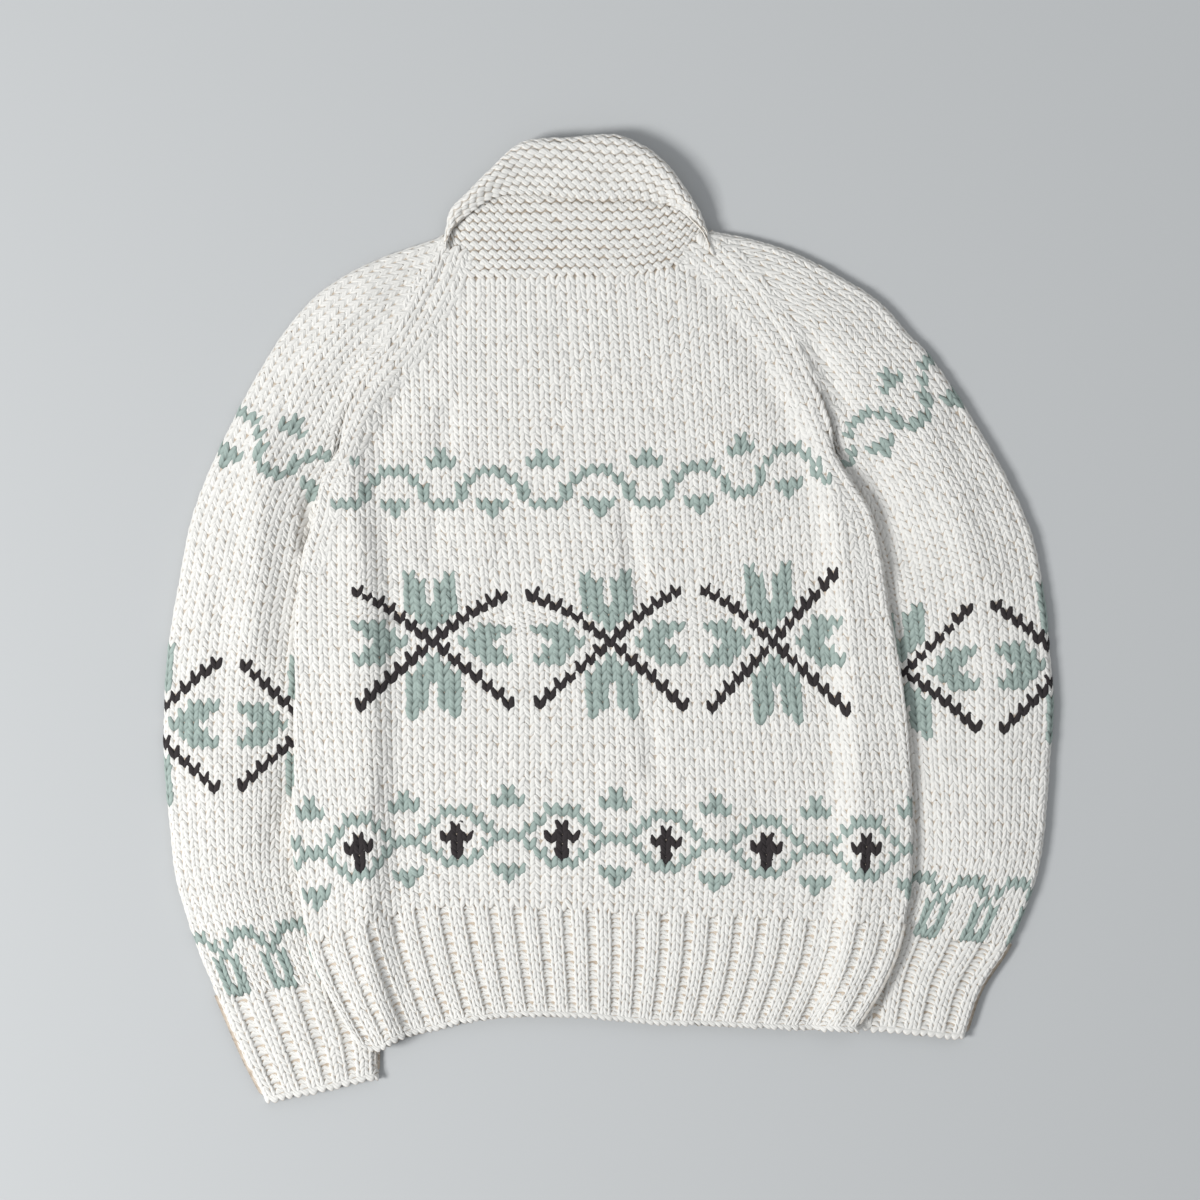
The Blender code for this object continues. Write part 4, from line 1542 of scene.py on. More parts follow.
@dataclass(frozen=True)
class GroundShadeFinish(Finish):
    """The look of the cloth between the strands, whose colours are painted shade, and of its inside,
    near the yarn's own cream.
    """

    loop_scale: float = 240
    loop_detail: float = 3
    loop_ends: tuple[float, float] = (0.35, 0.65)

    def material(self) -> bpy.types.Material:
        """Builds the material, with the loops of the cloth as a fine pattern that mixes its colour
        with the darker one painted as shade.
        """
        material = self.start()
        tree = material.node_tree
        place = tree.nodes.new("ShaderNodeTexCoord")
        loops = tree.nodes.new("ShaderNodeTexNoise")
        loops.inputs["Scale"].default_value = self.loop_scale
        loops.inputs["Detail"].default_value = self.loop_detail
        tree.links.new(place.outputs["Object"], loops.inputs["Vector"])
        ramp = self.tones(tree, self.loop_ends, (self.pit_shade, self.colour))
        tree.links.new(loops.outputs["Fac"], ramp.inputs["Fac"])
        shader = tree.nodes["Principled BSDF"]
        tree.links.new(ramp.outputs["Color"], shader.inputs["Base Color"])
        self.emboss(tree, loops.outputs["Fac"])
        return material


@dataclass
class Wardrobe:
    """The materials of the cardigan, made once, with painted shade on the yarns' hollows and on the
    cloth between the strands.
    """

    yarns: list[bpy.types.Material] = field(default_factory=list)
    ground: bpy.types.Material | None = None
    inside: bpy.types.Material | None = None

    def dye_and_paint_shade(self) -> None:
        """Makes the three yarns, each with a darker colour painted as shade where its strands sink,
        the ground, painted darker and browner as the shade between the strands, and the cloth's
        inside.
        """
        # Each yarn's own colour, then the darker colour painted as shade where its strands sink.
        finishes = (
            YarnFinish("cream_yarn", (0.735, 0.723, 0.688), (0.52, 0.43, 0.33)),
            YarnFinish("sage_yarn", (0.335, 0.410, 0.377), (0.07, 0.09, 0.08), pit_shade_start=0.25),
            YarnFinish(
                "charcoal_yarn", (0.030, 0.025, 0.026), (0.008, 0.006, 0.006), 0.9, sheen=0.1
            ),
        )
        self.yarns = [finish.material() for finish in finishes]
        # Painted shade: the ground is darker and browner than the cream yarn, as the gaps between
        # the strands look. The inside keeps near the yarn's own cream.
        ground = GroundShadeFinish("yarn_ground_painted_shade", (0.60, 0.52, 0.43), (0.44, 0.36, 0.28))
        self.ground = ground.material()
        inside = GroundShadeFinish("yarn_inside", (0.73, 0.71, 0.67), (0.60, 0.56, 0.50))
        self.inside = inside.material()


def link_object(name: str, mesh: bpy.types.Mesh) -> bpy.types.Object:
    """Puts a mesh into the scene as an object."""
    made = bpy.data.objects.new(name, mesh)
    bpy.context.collection.objects.link(made)
    return made


def swatch(stitch: Stitch, columns: int, rows: int) -> tuple[bpy.types.Mesh, int, int]:
    """Repeats a stitch over a flat grid with its middle stitches on whole numbers.

    Args:
        stitch: what is repeated.
        columns: how many stitches across.
        rows: how many rows.

    Returns:
        The mesh, and how many points and faces each stitch has.
    """
    template = stitch.template()
    points, faces = len(template.vertices), len(template.polygons)
    carrier = link_object("swatch", template)
    for axis, count in ((0, columns), (1, rows)):
        array = carrier.modifiers.new("repeat", "ARRAY")
        array.use_relative_offset = False
        array.use_constant_offset = True
        array.constant_offset_displace = [float(axis == 0), float(axis == 1), 0]
        array.count = count
    graph = bpy.context.evaluated_depsgraph_get()
    mesh = bpy.data.meshes.new_from_object(carrier.evaluated_get(graph))
    bpy.data.objects.remove(carrier)
    bpy.data.meshes.remove(template)
    return mesh, points, faces


# How much larger the stitches of the colour work are, about which height of their row, and how
# far they stand up.
BOLD_SHARE = 1.12
BOLD_MIDDLE = 0.36
BOLD_RISE = 0.0003

# In how many ways stitches are uneven, and the spread of each: turn, width, length, place along,
# height and tone. Then how far a stitch is lifted at most, and how far it may stand out.
UNEVEN_KINDS = 6
UNEVEN_TURN = 0.075
UNEVEN_WIDTH = 0.05
UNEVEN_LENGTH = 0.04
UNEVEN_PLACE = 0.05
UNEVEN_HEIGHT = 0.00018
UNEVEN_TONE = 0.022
MOST_LIFT = 0.0003
MOST_HEIGHT = 0.0002

# The stitches of the ribs and the collar are more even than the others, by this share.
RIB_UNEVEN = 0.7


@dataclass
class Knitting:
    """Stitches worked over a face of cloth."""

    form: ClothForm
    stitch: Stitch
    first_column: int
    keep: Array
    colours: Array | None = None
    seed: int = 1
    first_row: int = 0
    offset: float = 0.0
    uneven: float = 1.0

    def work(self, name: str, wardrobe: Wardrobe) -> bpy.types.Object:
        """Makes the stitches.

        Args:
            name: the piece's name.
            wardrobe: the finishes.

        Returns:
            The piece.
        """
        rows, columns = self.keep.shape
        mesh, points, faces = swatch(self.stitch, columns, rows)
        count = len(mesh.vertices)
        co = np.empty(count * 3, np.float32)
        mesh.vertices.foreach_get("co", co)
        co = co.reshape(-1, 3).astype(float)
        stitch = np.arange(count) // points
        column, row = stitch % columns, stitch // columns
        rng = np.random.default_rng(self.seed)
        wobble = rng.normal(0, 1, (columns * rows, UNEVEN_KINDS)) * self.uneven
        mine = wobble[stitch]
        local = co[:, :2] - np.column_stack([column, row])
        turn = mine[:, 0] * UNEVEN_TURN * (local[:, 1] - STITCH_MIDDLE)
        wide = local[:, 0] * (1 + UNEVEN_WIDTH * mine[:, 1])
        long = local[:, 1] * (1 + UNEVEN_LENGTH * mine[:, 5])
        local = np.column_stack([wide + turn, long + mine[:, 2] * UNEVEN_PLACE])
        bold = np.zeros(count, bool) if self.colours is None else self.colours.ravel()[stitch] > 0
        middle = np.array([0.0, BOLD_MIDDLE])
        local = middle + (local - middle) * np.where(bold, BOLD_SHARE, 1)[:, None]
        lift = np.minimum(mine[:, 3] * UNEVEN_HEIGHT, MOST_LIFT)
        height = co[:, 2] + lift + bold * BOLD_RISE
        height = np.minimum(height, MOST_HEIGHT + bold * BOLD_RISE)
        place = local[:, 0] + column + self.first_column + self.offset
        along_it = local[:, 1] + row + self.first_row
        where = self.form.raised(place, along_it, height)
        mesh.vertices.foreach_set("co", where.astype(np.float32).ravel())
        shade = 1 + UNEVEN_TONE * mine[:, 4]
        layer = mesh.attributes.new("shade", "FLOAT", "POINT")
        layer.data.foreach_set("value", shade.astype(np.float32))
        for yarn in wardrobe.yarns:
            mesh.materials.append(yarn)
        if self.colours is not None:
            face_stitch = np.arange(len(mesh.polygons)) // faces
            index = self.colours.ravel()[face_stitch].astype(np.int32)
            mesh.polygons.foreach_set("material_index", index)
        self.drop_unkept(mesh, stitch)
        mesh.shade_smooth()
        return link_object(name, mesh)

    def drop_unkept(self, mesh: bpy.types.Mesh, stitch: Array) -> None:
        """Takes out the stitches that lie outside the piece.

        Args:
            mesh: all the stitches.
            stitch: the stitch of each point.
        """
        kept = self.keep.ravel()[stitch]
        if kept.all():
            return
        bm = bmesh.new()
        bm.from_mesh(mesh)
        out = [vert for vert, good in zip(bm.verts, kept) if not good]
        bmesh.ops.delete(bm, geom=out, context="VERTS")
        bm.to_mesh(mesh)
        bm.free()


def shell(
    name: str, points: Array, wardrobe: Wardrobe, thickness: float, facing: float
) -> bpy.types.Object:
    """A thin shell of cloth through a grid of points.

    Args:
        name: the piece's name.
        points: the grid, by row and column.
        wardrobe: the finishes.
        thickness: the wall, which is laid on the side away from the face.
        facing: 1 where the face is to the left of the rows' and columns' turn, or -1.

    Returns:
        The piece.
    """
    rows, columns = points.shape[:2]
    bm = bmesh.new()
    bmesh.ops.create_grid(bm, x_segments=columns - 1, y_segments=rows - 1, size=0.5)
    for vert in bm.verts:
        row = round((vert.co.y + 0.5) * (rows - 1))
        column = round((vert.co.x + 0.5) * (columns - 1))
        vert.co = points[row, column]
    if facing < 0:
        bmesh.ops.reverse_faces(bm, faces=bm.faces[:])
    mesh = bpy.data.meshes.new(name)
    bm.to_mesh(mesh)
    bm.free()
    mesh.shade_smooth()
    # The face takes the ground, painted as the shade between the strands; the other side and the
    # rims take the inside.
    mesh.materials.append(wardrobe.ground)
    mesh.materials.append(wardrobe.inside)
    piece = link_object(name, mesh)
    wall = piece.modifiers.new("wall", "SOLIDIFY")
    wall.thickness = thickness
    wall.material_offset = 1
    wall.material_offset_rim = 1
    wall.offset = -1
    return piece


def grid_on(form: ClothForm, left: Array, right: Array, rows: Array, across: int) -> Array:
    """Points of a face between two borders, sunk to the shell's depth.

    Args:
        form: the face.
        left: the column where each row begins.
        right: the column where each row ends.
        rows: the rows.
        across: how many points each row has.

    Returns:
        The grid, by row and column.
    """
    share = np.linspace(0, 1, across)
    columns = left[:, None] + (right - left)[:, None] * share
    down = np.repeat(rows[:, None], across, axis=1)
    depth = np.full(columns.size, -SHELL_DEPTH)
    found = form.raised(columns.ravel(), down.ravel(), depth)
    return found.reshape(len(rows), across, 3)


@dataclass
class Piece:
    """What a knitted piece of the cardigan needs: its node, its slot and its cut."""

    node: str
    slot: str
    flat: tuple[float, float]
    area: float
    held: str
    rests_on: tuple[str, ...]

    def declare(self, cloth: bpy.types.Object, *worked: bpy.types.Object) -> None:
        """Rides the meshes on the body, hides the solid that they stand for, and logs how many
        meshes of stitches there are.

        Args:
            cloth: the shell.
            worked: the stitches on it.
        """
        for made in (cloth, *worked):
            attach(made, "root")
            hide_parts(self.node)
        LOG.info("%s: %d meshes of stitches", self.node, len(worked))


@dataclass
class BodyPiece:
    """The back or one front, in stocking stitch with its colour work."""

    piece: Piece
    form: BodyForm
    stitch: Stitch
    parts: int
    seed: int

    def __post_init__(self) -> None:
        """Lays the strips along the raglan seams of the side that shows."""
        sides = Side if self.form.layer is Layer.BACK else ()
        self.strips = {side: RaglanForm(self.form, side) for side in sides}

    def colour_work(self, columns: Array) -> Array:
        """The yarn of each stitch, by row and column."""
        colours = np.zeros((BODY_ROWS + 1, len(columns)), int)
        first = int(columns[0])
        CHAIN_BAND.paint(colours, 0, CHAIN_ROW, first)
        for middle in STAR_COLUMNS[self.form.layer.value]:
            LEAF_STAR.paint(colours, middle, STAR_ROW, first)
        WAVE_BAND.paint(colours, 0, WAVE_ROW, first)
        return colours

    def make(self, wardrobe: Wardrobe) -> None:
        """Makes the shell and its stitches.

        Args:
            wardrobe: the finishes.
        """
        rows = np.linspace(0, BODY_ROWS, 2 * BODY_ROWS + 1)
        left, right = self.form.borders(rows)
        wide = int(np.max(right - left) * SHELL_FINENESS)
        points = grid_on(self.form, left, right, rows, wide)
        node = self.piece.node
        cloth = shell(f"{node}_cloth", points, wardrobe, SHELL_WALL, self.form.facing)
        columns = np.arange(int(left.min()) - 1, int(right.max()) + 2)
        colours = self.colour_work(columns)
        worked = []
        cuts = np.linspace(0, BODY_ROWS, self.parts + 1).astype(int)
        for index, (first, last) in enumerate(zip(cuts[:-1], cuts[1:])):
            knitting = Knitting(
                self.form,
                self.stitch,
                int(columns[0]),
                self.kept(columns, np.arange(first, last)),
                colours[first:last],
                self.seed + index,
                first_row=int(first),
            )
            worked.append(knitting.work(f"{node}_stitches_{index + 1}", wardrobe))
        for side, strip in self.strips.items():
            count = int(strip.rows) + 2
            keep = np.ones((count, RAGLAN_COLUMNS + 1), bool)
            seam = Knitting(strip, self.stitch, 0, keep, seed=self.seed, offset=STRIP_ROOM)
            worked.append(seam.work(f"{node}_stitches_raglan_{side.value}", wardrobe))
        self.piece.declare(cloth, *worked)

    def kept(self, columns: Array, rows: Array) -> Array:
        """Which stitches lie inside the piece and aren't buried under the other layers.

        Args:
            columns: the columns of the grid.
            rows: its rows.

        Returns:
            True for each stitch that is kept, by row and column.
        """
        c, r = np.meshgrid(columns.astype(float), rows + STITCH_MIDDLE)
        left, right = self.form.room(c.ravel(), r.ravel())
        x, y = self.form.plan(c.ravel(), r.ravel())
        keep = (left > BORDER_ROOM) & (right > BORDER_ROOM)
        for side, strip in self.strips.items():
            low = y < STRIP_START[side.value] + ROW_HEIGHT / 4
            keep &= low | (strip.distance(x, y) > RAGLAN_COLUMNS + STRIP_ROOM)
        if self.form.layer is Layer.FRONT:
            for side in Side:
                over = side.inward * (x - OUTLINE.inner_edge_x(side, y))
                keep &= over > -FRONT_UNDER
        return keep.reshape(c.shape)


@dataclass
class SleevePiece:
    """One sleeve, in stocking stitch round its tube."""

    piece: Piece
    side: Side
    seed: int

    def make(self, wardrobe: Wardrobe) -> None:
        """Makes the shell and its stitches, those of the upper side finer than the lower ones.

        Args:
            wardrobe: the finishes.
        """
        name = self.side.value
        form = SleeveForm(self.side, CUFF_TOP_ROW[name])
        count = int(form.rows) + 1
        rows = np.linspace(0, form.rows, 2 * count)
        ends = form.border(rows, -1), form.border(rows, 1)
        points = grid_on(form, *ends, rows, SLEEVE_SHELL_POINTS)
        node = self.piece.node
        cloth = shell(f"{node}_cloth", points, wardrobe, SHELL_WALL, form.facing)
        worked = []
        most = int(np.max(ends[1])) + 2
        for label, stitch, first in (("upper", KNIT, 0), ("lower", KNIT_HIDDEN, -most)):
            columns = np.arange(first, first + most) + HALF_STITCH
            knitting = Knitting(
                form,
                stitch,
                first,
                self.kept(form, columns, count),
                self.colour_work(columns, count),
                self.seed,
                offset=HALF_STITCH,
            )
            worked.append(knitting.work(f"{node}_stitches_{label}", wardrobe))
        under = np.interp(UNDERARM_ROW[name], form.places, form.length)
        low = int(under / SLEEVE_ROW_HEIGHT) + 1
        keep = np.ones((count - low, RAGLAN_COLUMNS), bool)
        seam = Knitting(
            SleeveSeamForm(form), KNIT, 0, keep, seed=self.seed, first_row=low, offset=SEAM_OFFSET
        )
        worked.append(seam.work(f"{node}_stitches_seam", wardrobe))
        self.piece.declare(cloth, *worked)

    def colour_work(self, columns: Array, rows: int) -> Array:
        """The yarn of each stitch, by row and column."""
        colours = np.zeros((rows, len(columns)), int)
        first = int(np.floor(columns[0]))
        for chart, column, row in SLEEVE_CHARTS[self.side.value]:
            chart.paint(colours, column, row, first)
        return colours

    def kept(self, form: SleeveForm, columns: Array, rows: int) -> Array:
        """Which stitches lie on the sleeve and aren't buried under the body.

        Args:
            form: the sleeve's face.
            columns: the columns of the grid.
            rows: how many rows it has.

        Returns:
            True for each stitch that is kept, by row and column.
        """
        c, r = np.meshgrid(columns, np.arange(rows) + STITCH_MIDDLE)
        c, r = c.ravel(), r.ravel()
        room = form.reach(c, r) - np.abs(c)
        points = form.at(c, r)
        place = form.place(form.level(c, r))
        seam = (c > 0) & (place > UNDERARM_ROW[self.side.value])
        keep = room > np.where(seam, RAGLAN_COLUMNS - SEAM_ROOM, SEAM_ROOM)
        low = above_underarm(self.side, points[:, 1]) < 0
        inside = self.side.inward * (points[:, 0] - OUTLINE.side_x(self.side, points[:, 1]))
        keep &= ~((c > 0) & low & (inside > SLEEVE_UNDER))
        return keep.reshape(rows, len(columns))


@dataclass
class RibPiece:
    """A hem or cuff in two-and-one rib."""

    piece: Piece
    form: ClothForm
    ribs: int
    rows: int
    length: float
    seed: int
    first_rib: int = 0
    stitch: Stitch = RIB_KNIT
    fewer: int = 0

    def make(self, wardrobe: Wardrobe) -> None:
        """Makes the shell, the knit columns, the purl columns and the cast-on edge.

        Args:
            wardrobe: the finishes.
        """
        count = 3 * self.ribs - self.fewer
        first = 3 * self.first_rib
        grid_rows = np.linspace(0, self.length, self.rows * 2 + 1)
        ends = np.full(len(grid_rows), float(first)), np.full(len(grid_rows), float(first + count))
        points = grid_on(self.form, ends[0], ends[1], grid_rows, count * 2 + 1)
        node = self.piece.node
        cloth = shell(f"{node}_cloth", points, wardrobe, SHELL_WALL, self.form.facing)
        worked = []
        purl = np.tile([False, False, True], self.ribs)[:count]
        scaled = ScaledForm(self.form, self.length / self.rows)
        for label, stitch, keep in (("knit", self.stitch, ~purl), ("purl", PURL_BUMP, purl)):
            kept = np.tile(keep, (self.rows, 1))
            knitting = Knitting(scaled, stitch, first, kept, seed=self.seed)
            knitting.offset, knitting.uneven = HALF_STITCH, RIB_UNEVEN
            worked.append(knitting.work(f"{node}_{label}", wardrobe))
        keep = np.ones((1, count), bool)
        edge = Knitting(scaled, CAST_ON, first, keep, seed=self.seed, offset=HALF_STITCH)
        worked.append(edge.work(f"{node}_cast_on", wardrobe))
        self.piece.declare(cloth, *worked)


@dataclass
class ScaledForm(ClothForm):
    """A form whose rows are counted in another height."""

    form: ClothForm
    stretch: float

    def __post_init__(self) -> None:
        """Takes over which way the face points."""
        self.facing = self.form.facing

    def at(self, column: Array, row: Array) -> Array:
        """Points of the face. See ClothForm."""
        return self.form.at(column, row * self.stretch)


# At how many places a ridge of the collar is read.
RIDGE_SAMPLES = 8

# How many points a line has where a stretch is cut from it, and how far its other places stay
# from the cuts.
STRETCH_POINTS = 200
APART = 0.01


def measured(grid: Array, pitch: float) -> tuple[Array, Array]:
    """Reads each column of a grid at equal distances from its first row.

    Args:
        grid: points by row and column.
        pitch: the distance between two ridges.

    Returns:
        The points by share of a ridge and column, and how many ridges long each column is.
    """
    step = np.linalg.norm(np.diff(grid, axis=0), axis=2).cumsum(axis=0)
    length = np.vstack([np.zeros(grid.shape[1]), step]) / pitch
    past_end = np.ceil(length[-1].max()) + 1 / (2 * RIDGE_SAMPLES)
    ridges = np.arange(0, past_end, 1 / RIDGE_SAMPLES)
    columns = []
    for index in range(grid.shape[1]):
        points = grid[:, index]
        read = [np.interp(ridges, length[:, index], values) for values in points.T]
        columns.append(np.column_stack(read))
    return np.array(columns).transpose(1, 0, 2), length[-1]


def part_of(line: Line, start: float, stop: float) -> Array:
    """The stretch of a line between two places to the side."""
    points = dense(line, STRETCH_POINTS)
    low, high = sorted((start, stop))
    y_low, y_high = np.interp([low, high], points[:, 0], points[:, 1])
    inside = [place for place in line if low + APART < place[0] < high - APART]
    return np.array([(low, y_low), *inside, (high, y_high)])


@dataclass
class BackCollar:
    """The collar from the neck seam up, over its roll and down to the edge of its fall."""

    piece: Piece
    sections: int = 91
    seed: int = 60

    def section(self, u: float, neck: Array, fold: Array, edge: Array) -> tuple[Array, Array]:
        """One section of the collar.

        Args:
            u: the share of the collar's length round the neck.
            neck: the point on the neck seam.
            fold: the point on the roll.
            edge: the point on the fall's free edge.

        Returns:
            The points of the outer side, which runs under the stand and over the fall, and
            those of the inner side.
        """
        end = smooth_step(min(u, 1 - u) / COLLAR_END)
        thick = COLLAR_WALL * (COLLAR_END_WALL + (1 - COLLAR_END_WALL) * end)
        roll = COLLAR_ROLL * (COLLAR_END_ROLL + (1 - COLLAR_END_ROLL) * end)
        up = (fold - neck) / np.linalg.norm(fold - neck)
        down = (edge - fold) / np.linalg.norm(edge - fold)
        heading = (up - down) / np.linalg.norm(up - down)
        start = fold - heading * (roll + thick)
        x, y = neck[:1], neck[1:]
        seam_low = (back_middle(x, y) + HALF_GAP + back_loft(x, y))[0]
        low = HALF_STACK + LAYER_GAP + COLLAR_RISE * end
        share = np.linspace(0, 1, STAND_POINTS)
        stand = neck + (start - neck) * share[:, None]
        stand_low = seam_low + (low - seam_low) * smooth_step(share / SEAM_RISE)
        turn = np.radians(np.linspace(-90, 90, ROLL_POINTS))[1:-1]
        middle = low + thick + roll
        around = heading * np.cos(turn)[:, None]
        fall = start + (edge - start) * share[:, None]
        clear = 2 * roll + (LAYER_GAP - 2 * roll) * smooth_step(share)
        fall_low = low + thick + clear
        outer_plan = np.concatenate([stand, start + around * (roll + thick), fall])
        inner_plan = np.concatenate([stand, start + around * roll, fall])
        outer_z = [stand_low, middle + (roll + thick) * np.sin(turn), fall_low + thick]
        inner_z = [stand_low + thick, middle + roll * np.sin(turn), fall_low]
        outer = np.column_stack([outer_plan, np.concatenate(outer_z)])
        inner = np.column_stack([inner_plan, np.concatenate(inner_z)])
        return outer, inner

    def make(self, wardrobe: Wardrobe) -> None:
        """Makes the shell, and the garter stitch of the stand and of the fall.

        Args:
            wardrobe: the finishes.
        """
        share = np.linspace(0, 1, self.sections)
        neck_line = tuple((x, y + SEAM_GAP) for x, y in NECK)
        lines = [along(line, share) for line in (neck_line, COLLAR_FOLD, COLLAR_EDGE)]
        found = [self.section(*column) for column in zip(share, *lines)]
        outer, inner = np.array(found).transpose(1, 2, 0, 3)
        middle = (outer + inner) / 2
        cloth = shell("collar_back_cloth", middle, wardrobe, SHELL_WALL, 1.0)
        cloth.modifiers["wall"].offset = 0
        cloth.modifiers["wall"].thickness = SHELL_WALL / 2
        length = float(np.linalg.norm(np.diff(lines[0], axis=0), axis=1).sum())
        stitches = int(round(length * COLLAR_SPREAD / GARTER_STITCH))
        shown = int(STAND_POINTS * STAND_SHOWN)
        parts = {"stand": inner[: shown + 1], "fall": outer[STAND_POINTS - 1 :][::-1]}
        worked = []
        for label, part in parts.items():
            grid, long = measured(part, GARTER_RIDGE)
            ridges = (len(grid) - 1) // RIDGE_SAMPLES
            form = SampledForm(grid, float(stitches), float(ridges), 1.0)
            columns = np.arange(-1, stitches + 2)
            reach = np.interp(columns / stitches, share, long)
            keep = np.arange(ridges)[:, None] + STITCH_MIDDLE < reach
            knitting = Knitting(
                form, GARTER_BUMP, -1, keep, seed=self.seed, uneven=RIB_UNEVEN
            )
            worked.append(knitting.work(f"collar_back_{label}", wardrobe))
        self.piece.declare(cloth, *worked)


@dataclass
class FrontBand:
    """The front band, which widens up the neck into the front half of the shawl collar."""

    piece: Piece
    side: Side
    seed: int

    def make(self, wardrobe: Wardrobe) -> None:
        """Makes the shell and the garter stitch on its face.

        Args:
            wardrobe: the finishes.
        """
        name = self.side.value
        tables = (BAND_HEM, BAND_SEAM, COLLAR_SIDE)
        lines = [dense(table[name], BAND_EDGE_POINTS) for table in tables]
        seam = np.concatenate([lines[0], lines[1][1:], lines[2][1:]])
        outer, middle = dense(seam, BAND_POINTS), dense(CENTRE_FRONT, BAND_POINTS)
        share = np.linspace(0, 1, BAND_ACROSS)
        width = np.linalg.norm(middle - outer, axis=1)[:, None]
        inset = (SEAM_GAP / 2 + share * (width - SEAM_GAP)) / width
        plan = outer[:, None] * (1 - inset[..., None]) + middle[:, None] * inset[..., None]
        top = along(COLLAR_TOP[name], share)
        up = np.linspace(0, 1, BAND_POINTS)[:, None, None]
        plan = plan + smooth_step((up - BAND_TOP_FROM) / BAND_TOP_OVER) * (top - plan[-1])
        x, y = plan[..., 0], plan[..., 1]
        z = front_middle(x.ravel(), y.ravel()).reshape(x.shape) - HALF_STACK
        grid = np.dstack([x, y, z])
        sunk = grid.copy()
        sunk[..., 2] += SHELL_DEPTH
        facing = -float(self.side.inward)
        cloth = shell(f"{self.piece.node}_cloth", sunk, wardrobe, SHELL_WALL, facing)
        length = float(np.linalg.norm(np.diff(grid[:, 0], axis=0), axis=1).sum())
        stitches = int(round(length / GARTER_STITCH))
        form = SampledForm(grid.transpose(1, 0, 2), float(stitches), float(BAND_RIDGES), -facing)
        keep = np.ones((BAND_RIDGES, stitches), bool)
        knitting = Knitting(form, PURL_HIDDEN, 0, keep, seed=self.seed, offset=HALF_STITCH)
        worked = knitting.work(f"{self.piece.node}_garter", wardrobe)
        self.piece.declare(cloth, worked)


@dataclass(frozen=True)
class Studio:
    """The floor, the light and the camera."""

    floor_colour: tuple[float, float, float] = (0.505, 0.517, 0.520)
    floor_size: float = 8.0
    floor_roughness: float = 0.9
    floor_specular: float = 0.1
    middle: tuple[float, float] = (-0.00765, 0.0144)
    field_width: float = 1.08
    lens: float = 85.0
    sensor: float = 36.0
    key_place: tuple[float, float, float] = (-3.0, -0.9, 2.7)
    key_size: float = 1.2
    key_power: float = 168
    fill_place: tuple[float, float, float] = (1.6, 1.6, 2.6)
    fill_size: float = 2.5
    fill_power: float = 12
    sky_colour: tuple[float, float, float] = (0.93, 0.96, 1.0)
    sky_strength: float = 0.42

    def lay_floor(self) -> None:
        """Lays a plain pale floor."""
        bm = bmesh.new()
        bmesh.ops.create_grid(bm, x_segments=1, y_segments=1, size=self.floor_size / 2)
        mesh = bpy.data.meshes.new("floor")
        bm.to_mesh(mesh)
        bm.free()
        floor = link_object("floor", mesh)
        material = bpy.data.materials.new("floor_paint")
        material.use_nodes = True
        shader = material.node_tree.nodes["Principled BSDF"]
        shader.inputs["Base Color"].default_value = (*self.floor_colour, 1)
        shader.inputs["Roughness"].default_value = self.floor_roughness
        shader.inputs["Specular IOR Level"].default_value = self.floor_specular
        mesh.materials.append(material)

    def set_camera(self) -> None:
        """Sets the camera straight above the garment."""
        data = bpy.data.cameras.new("camera")
        data.lens = self.lens
        data.sensor_width = self.sensor
        camera = bpy.data.objects.new("camera", data)
        height = self.field_width * self.lens / self.sensor
        camera.location = (*self.middle, height)
        bpy.context.collection.objects.link(camera)
        bpy.context.scene.camera = camera

    def add_light(
        self, name: str, place: tuple[float, float, float], size: float, power: float
    ) -> None:
        """Adds a soft light that points at the garment.

        Args:
            name: the light's name.
            place: where it is.
            size: the side of its square, in metres.
            power: its power in watts.
        """
        data = bpy.data.lights.new(name, "AREA")
        data.size = size
        data.energy = power
        light = bpy.data.objects.new(name, data)
        light.location = place
        x, y, z = place
        tilt, turn = np.arctan2(np.hypot(x, y), z), np.arctan2(y, x) + np.pi / 2
        light.rotation_euler = (float(tilt), 0, float(turn))
        bpy.context.collection.objects.link(light)

    def set_light(self) -> None:
        """Sets a soft key light from the lower left, a weak fill and a pale sky."""
        self.add_light("key_light", self.key_place, self.key_size, self.key_power)
        self.add_light("fill_light", self.fill_place, self.fill_size, self.fill_power)
        world = bpy.data.worlds.new("sky")
        world.use_nodes = True
        background = world.node_tree.nodes["Background"]
        background.inputs["Color"].default_value = (*self.sky_colour, 1)
        background.inputs["Strength"].default_value = self.sky_strength
        bpy.context.scene.world = world
        bpy.context.scene.view_settings.view_transform = "Standard"


def knit_back(wardrobe: Wardrobe) -> None:
    """Makes the back and its hem.

    Args:
        wardrobe: the finishes.
    """
    BodyPiece(
        Piece("back", "colour_knit", (0.58, 0.61), 0.29, "laid", ("front_left", "front_right")),
        BodyForm(Layer.BACK),
        KNIT,
        parts=2,
        seed=10,
    ).make(wardrobe)
    hem = HemForm(
        left=dense(HEM_SIDE["left"], HEM_SIDE_POINTS),
        right=dense(HEM_SIDE["right"], HEM_SIDE_POINTS),
        bottom=dense(HEM_BOTTOM),
        top=dense(HEM_TOP),
        ribs=BACK_RIBS - 1 + 2 * KNIT_SHARE,
        rows=float(HEM_KNIT_ROWS),
        layer=Layer.BACK,
        folded=(True, True),
    )
    RibPiece(
        Piece("hem_back", "cream_rib", (0.56, 0.10), 0.050, "laid", ("hem_front_left",)),
        hem,
        ribs=BACK_RIBS,
        rows=HEM_KNIT_ROWS,
        length=hem.rows,
        seed=20,
        fewer=1,
    ).make(wardrobe)


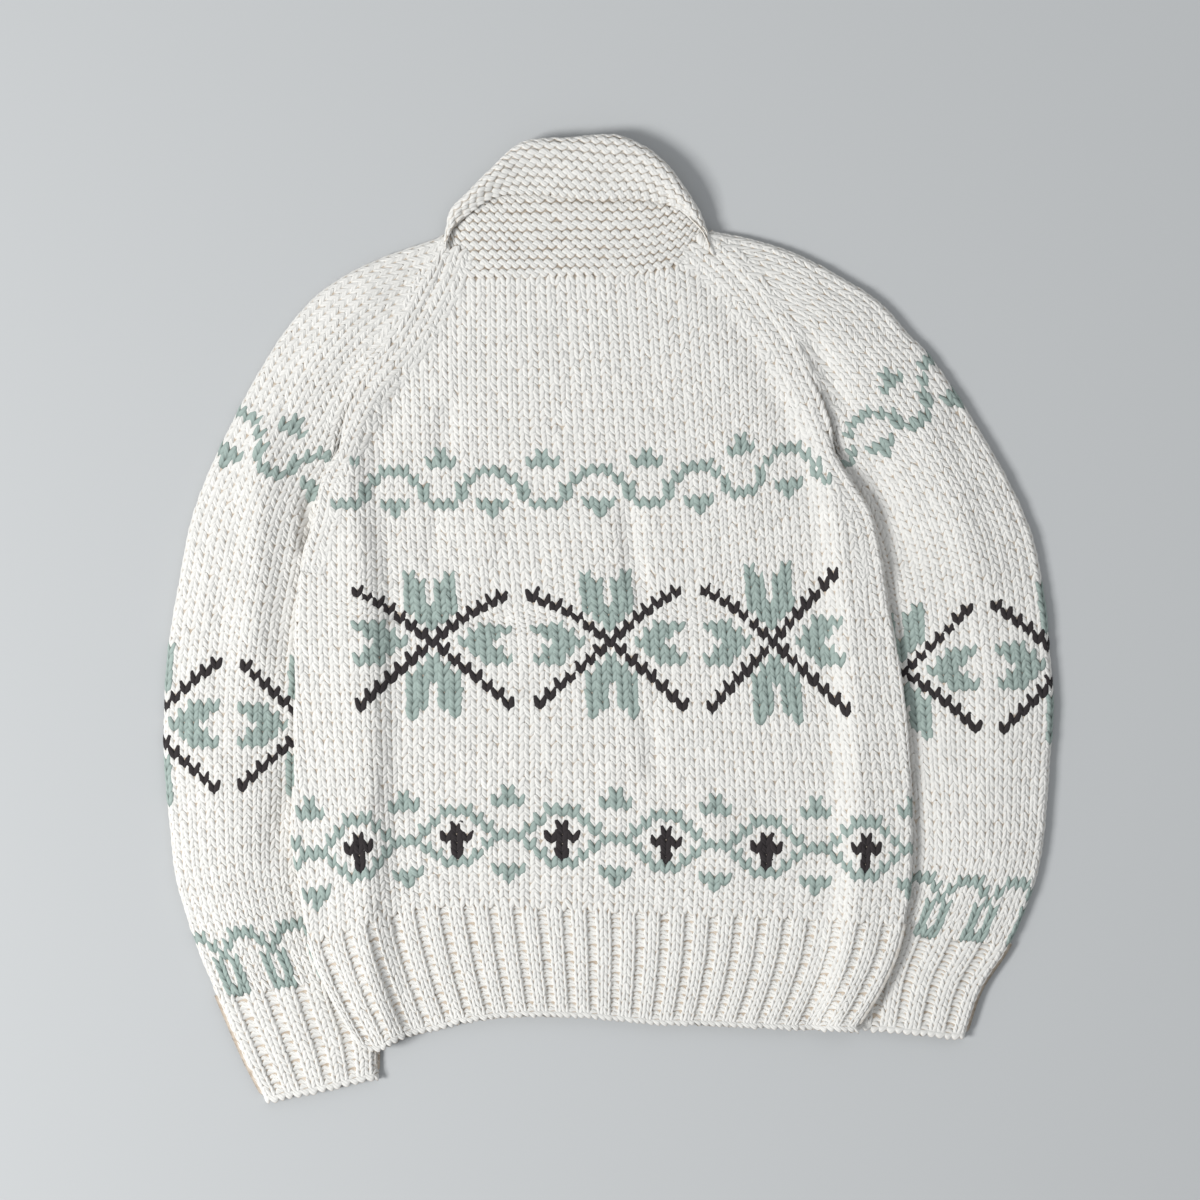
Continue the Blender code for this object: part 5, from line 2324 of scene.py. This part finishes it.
def knit_front(side: Side, wardrobe: Wardrobe) -> None:
    """Makes one front and its hem.

    Args:
        side: the wearer's side.
        wardrobe: the finishes.
    """
    name = side.value
    BodyPiece(
        Piece(f"front_{name}", "colour_knit", (0.26, 0.60), 0.13, "laid", ("floor",)),
        BodyForm(Layer.FRONT, side),
        KNIT_HIDDEN,
        parts=1,
        seed=30 + side.inward,
    ).make(wardrobe)
    low, high = HEM_SIDE[name][0][0], HEM_SIDE[name][-1][0]
    seam_low, seam_high = BAND_HEM[name][0][0], BAND_HEM[name][1][0]
    edges = [dense(HEM_SIDE[name], HEM_SIDE_POINTS), dense(BAND_HEM[name], HEM_SIDE_POINTS)]
    if side is Side.RIGHT:
        edges.reverse()
    hem = HemForm(
        left=edges[0],
        right=edges[1],
        bottom=part_of(HEM_BOTTOM, low, seam_low),
        top=part_of(HEM_TOP, high, seam_high),
        ribs=FRONT_RIBS,
        rows=float(HEM_KNIT_ROWS),
        layer=Layer.FRONT,
        folded=(side is Side.LEFT, side is Side.RIGHT),
    )
    RibPiece(
        Piece(f"hem_front_{name}", "cream_rib", (0.23, 0.10), 0.019, "laid", ("floor",)),
        hem,
        ribs=FRONT_RIBS,
        rows=HEM_KNIT_ROWS,
        length=hem.rows,
        seed=40 + side.inward,
        stitch=KNIT_HIDDEN,
    ).make(wardrobe)


def knit_sleeve(side: Side, wardrobe: Wardrobe) -> None:
    """Makes one sleeve and its cuff.

    Args:
        side: the wearer's side.
        wardrobe: the finishes.
    """
    name = side.value
    SleevePiece(
        Piece(f"sleeve_{name}", "colour_knit", (0.36, 0.72), 0.19, "folded", ("floor",)),
        side,
        seed=50 + side.inward,
    ).make(wardrobe)
    cuff = CuffForm(side, 0.0, CUFF_TOP_ROW[name])
    RibPiece(
        Piece(f"cuff_{name}", "cream_rib", (0.25, 0.09), 0.020, "folded", ("floor",)),
        cuff,
        ribs=2 * CUFF_RIBS,
        rows=CUFF_KNIT_ROWS,
        length=cuff.rows,
        seed=60 + side.inward,
        first_rib=-CUFF_RIBS,
    ).make(wardrobe)


def knit_band(side: Side, wardrobe: Wardrobe) -> None:
    """Makes one front band with its half of the collar.

    Args:
        side: the wearer's side.
        wardrobe: the finishes.
    """
    node = f"collar_front_{side.value}"
    FrontBand(
        Piece(node, "garter_collar", (0.13, 0.78), 0.040, "laid", ("floor",)),
        side,
        seed=70 + side.inward,
    ).make(wardrobe)


def knit_collar(wardrobe: Wardrobe) -> None:
    """Makes the collar round the back of the neck."""
    BackCollar(
        Piece("collar_back", "garter_collar", (0.26, 0.19), 0.040, "folded", ("collar_front_left",))
    ).make(wardrobe)


def main() -> None:
    """Builds the cardigan piece by piece."""
    logging.basicConfig(level=logging.INFO, format="%(name)s: %(message)s")
    studio = Studio()
    studio.lay_floor()
    studio.set_camera()
    studio.set_light()
    wardrobe = Wardrobe()
    wardrobe.dye_and_paint_shade()
    knit_back(wardrobe)
    for side in Side:
        knit_front(side, wardrobe)
        knit_sleeve(side, wardrobe)
        knit_band(side, wardrobe)
    knit_collar(wardrobe)


if __name__ == "__main__":
    main()
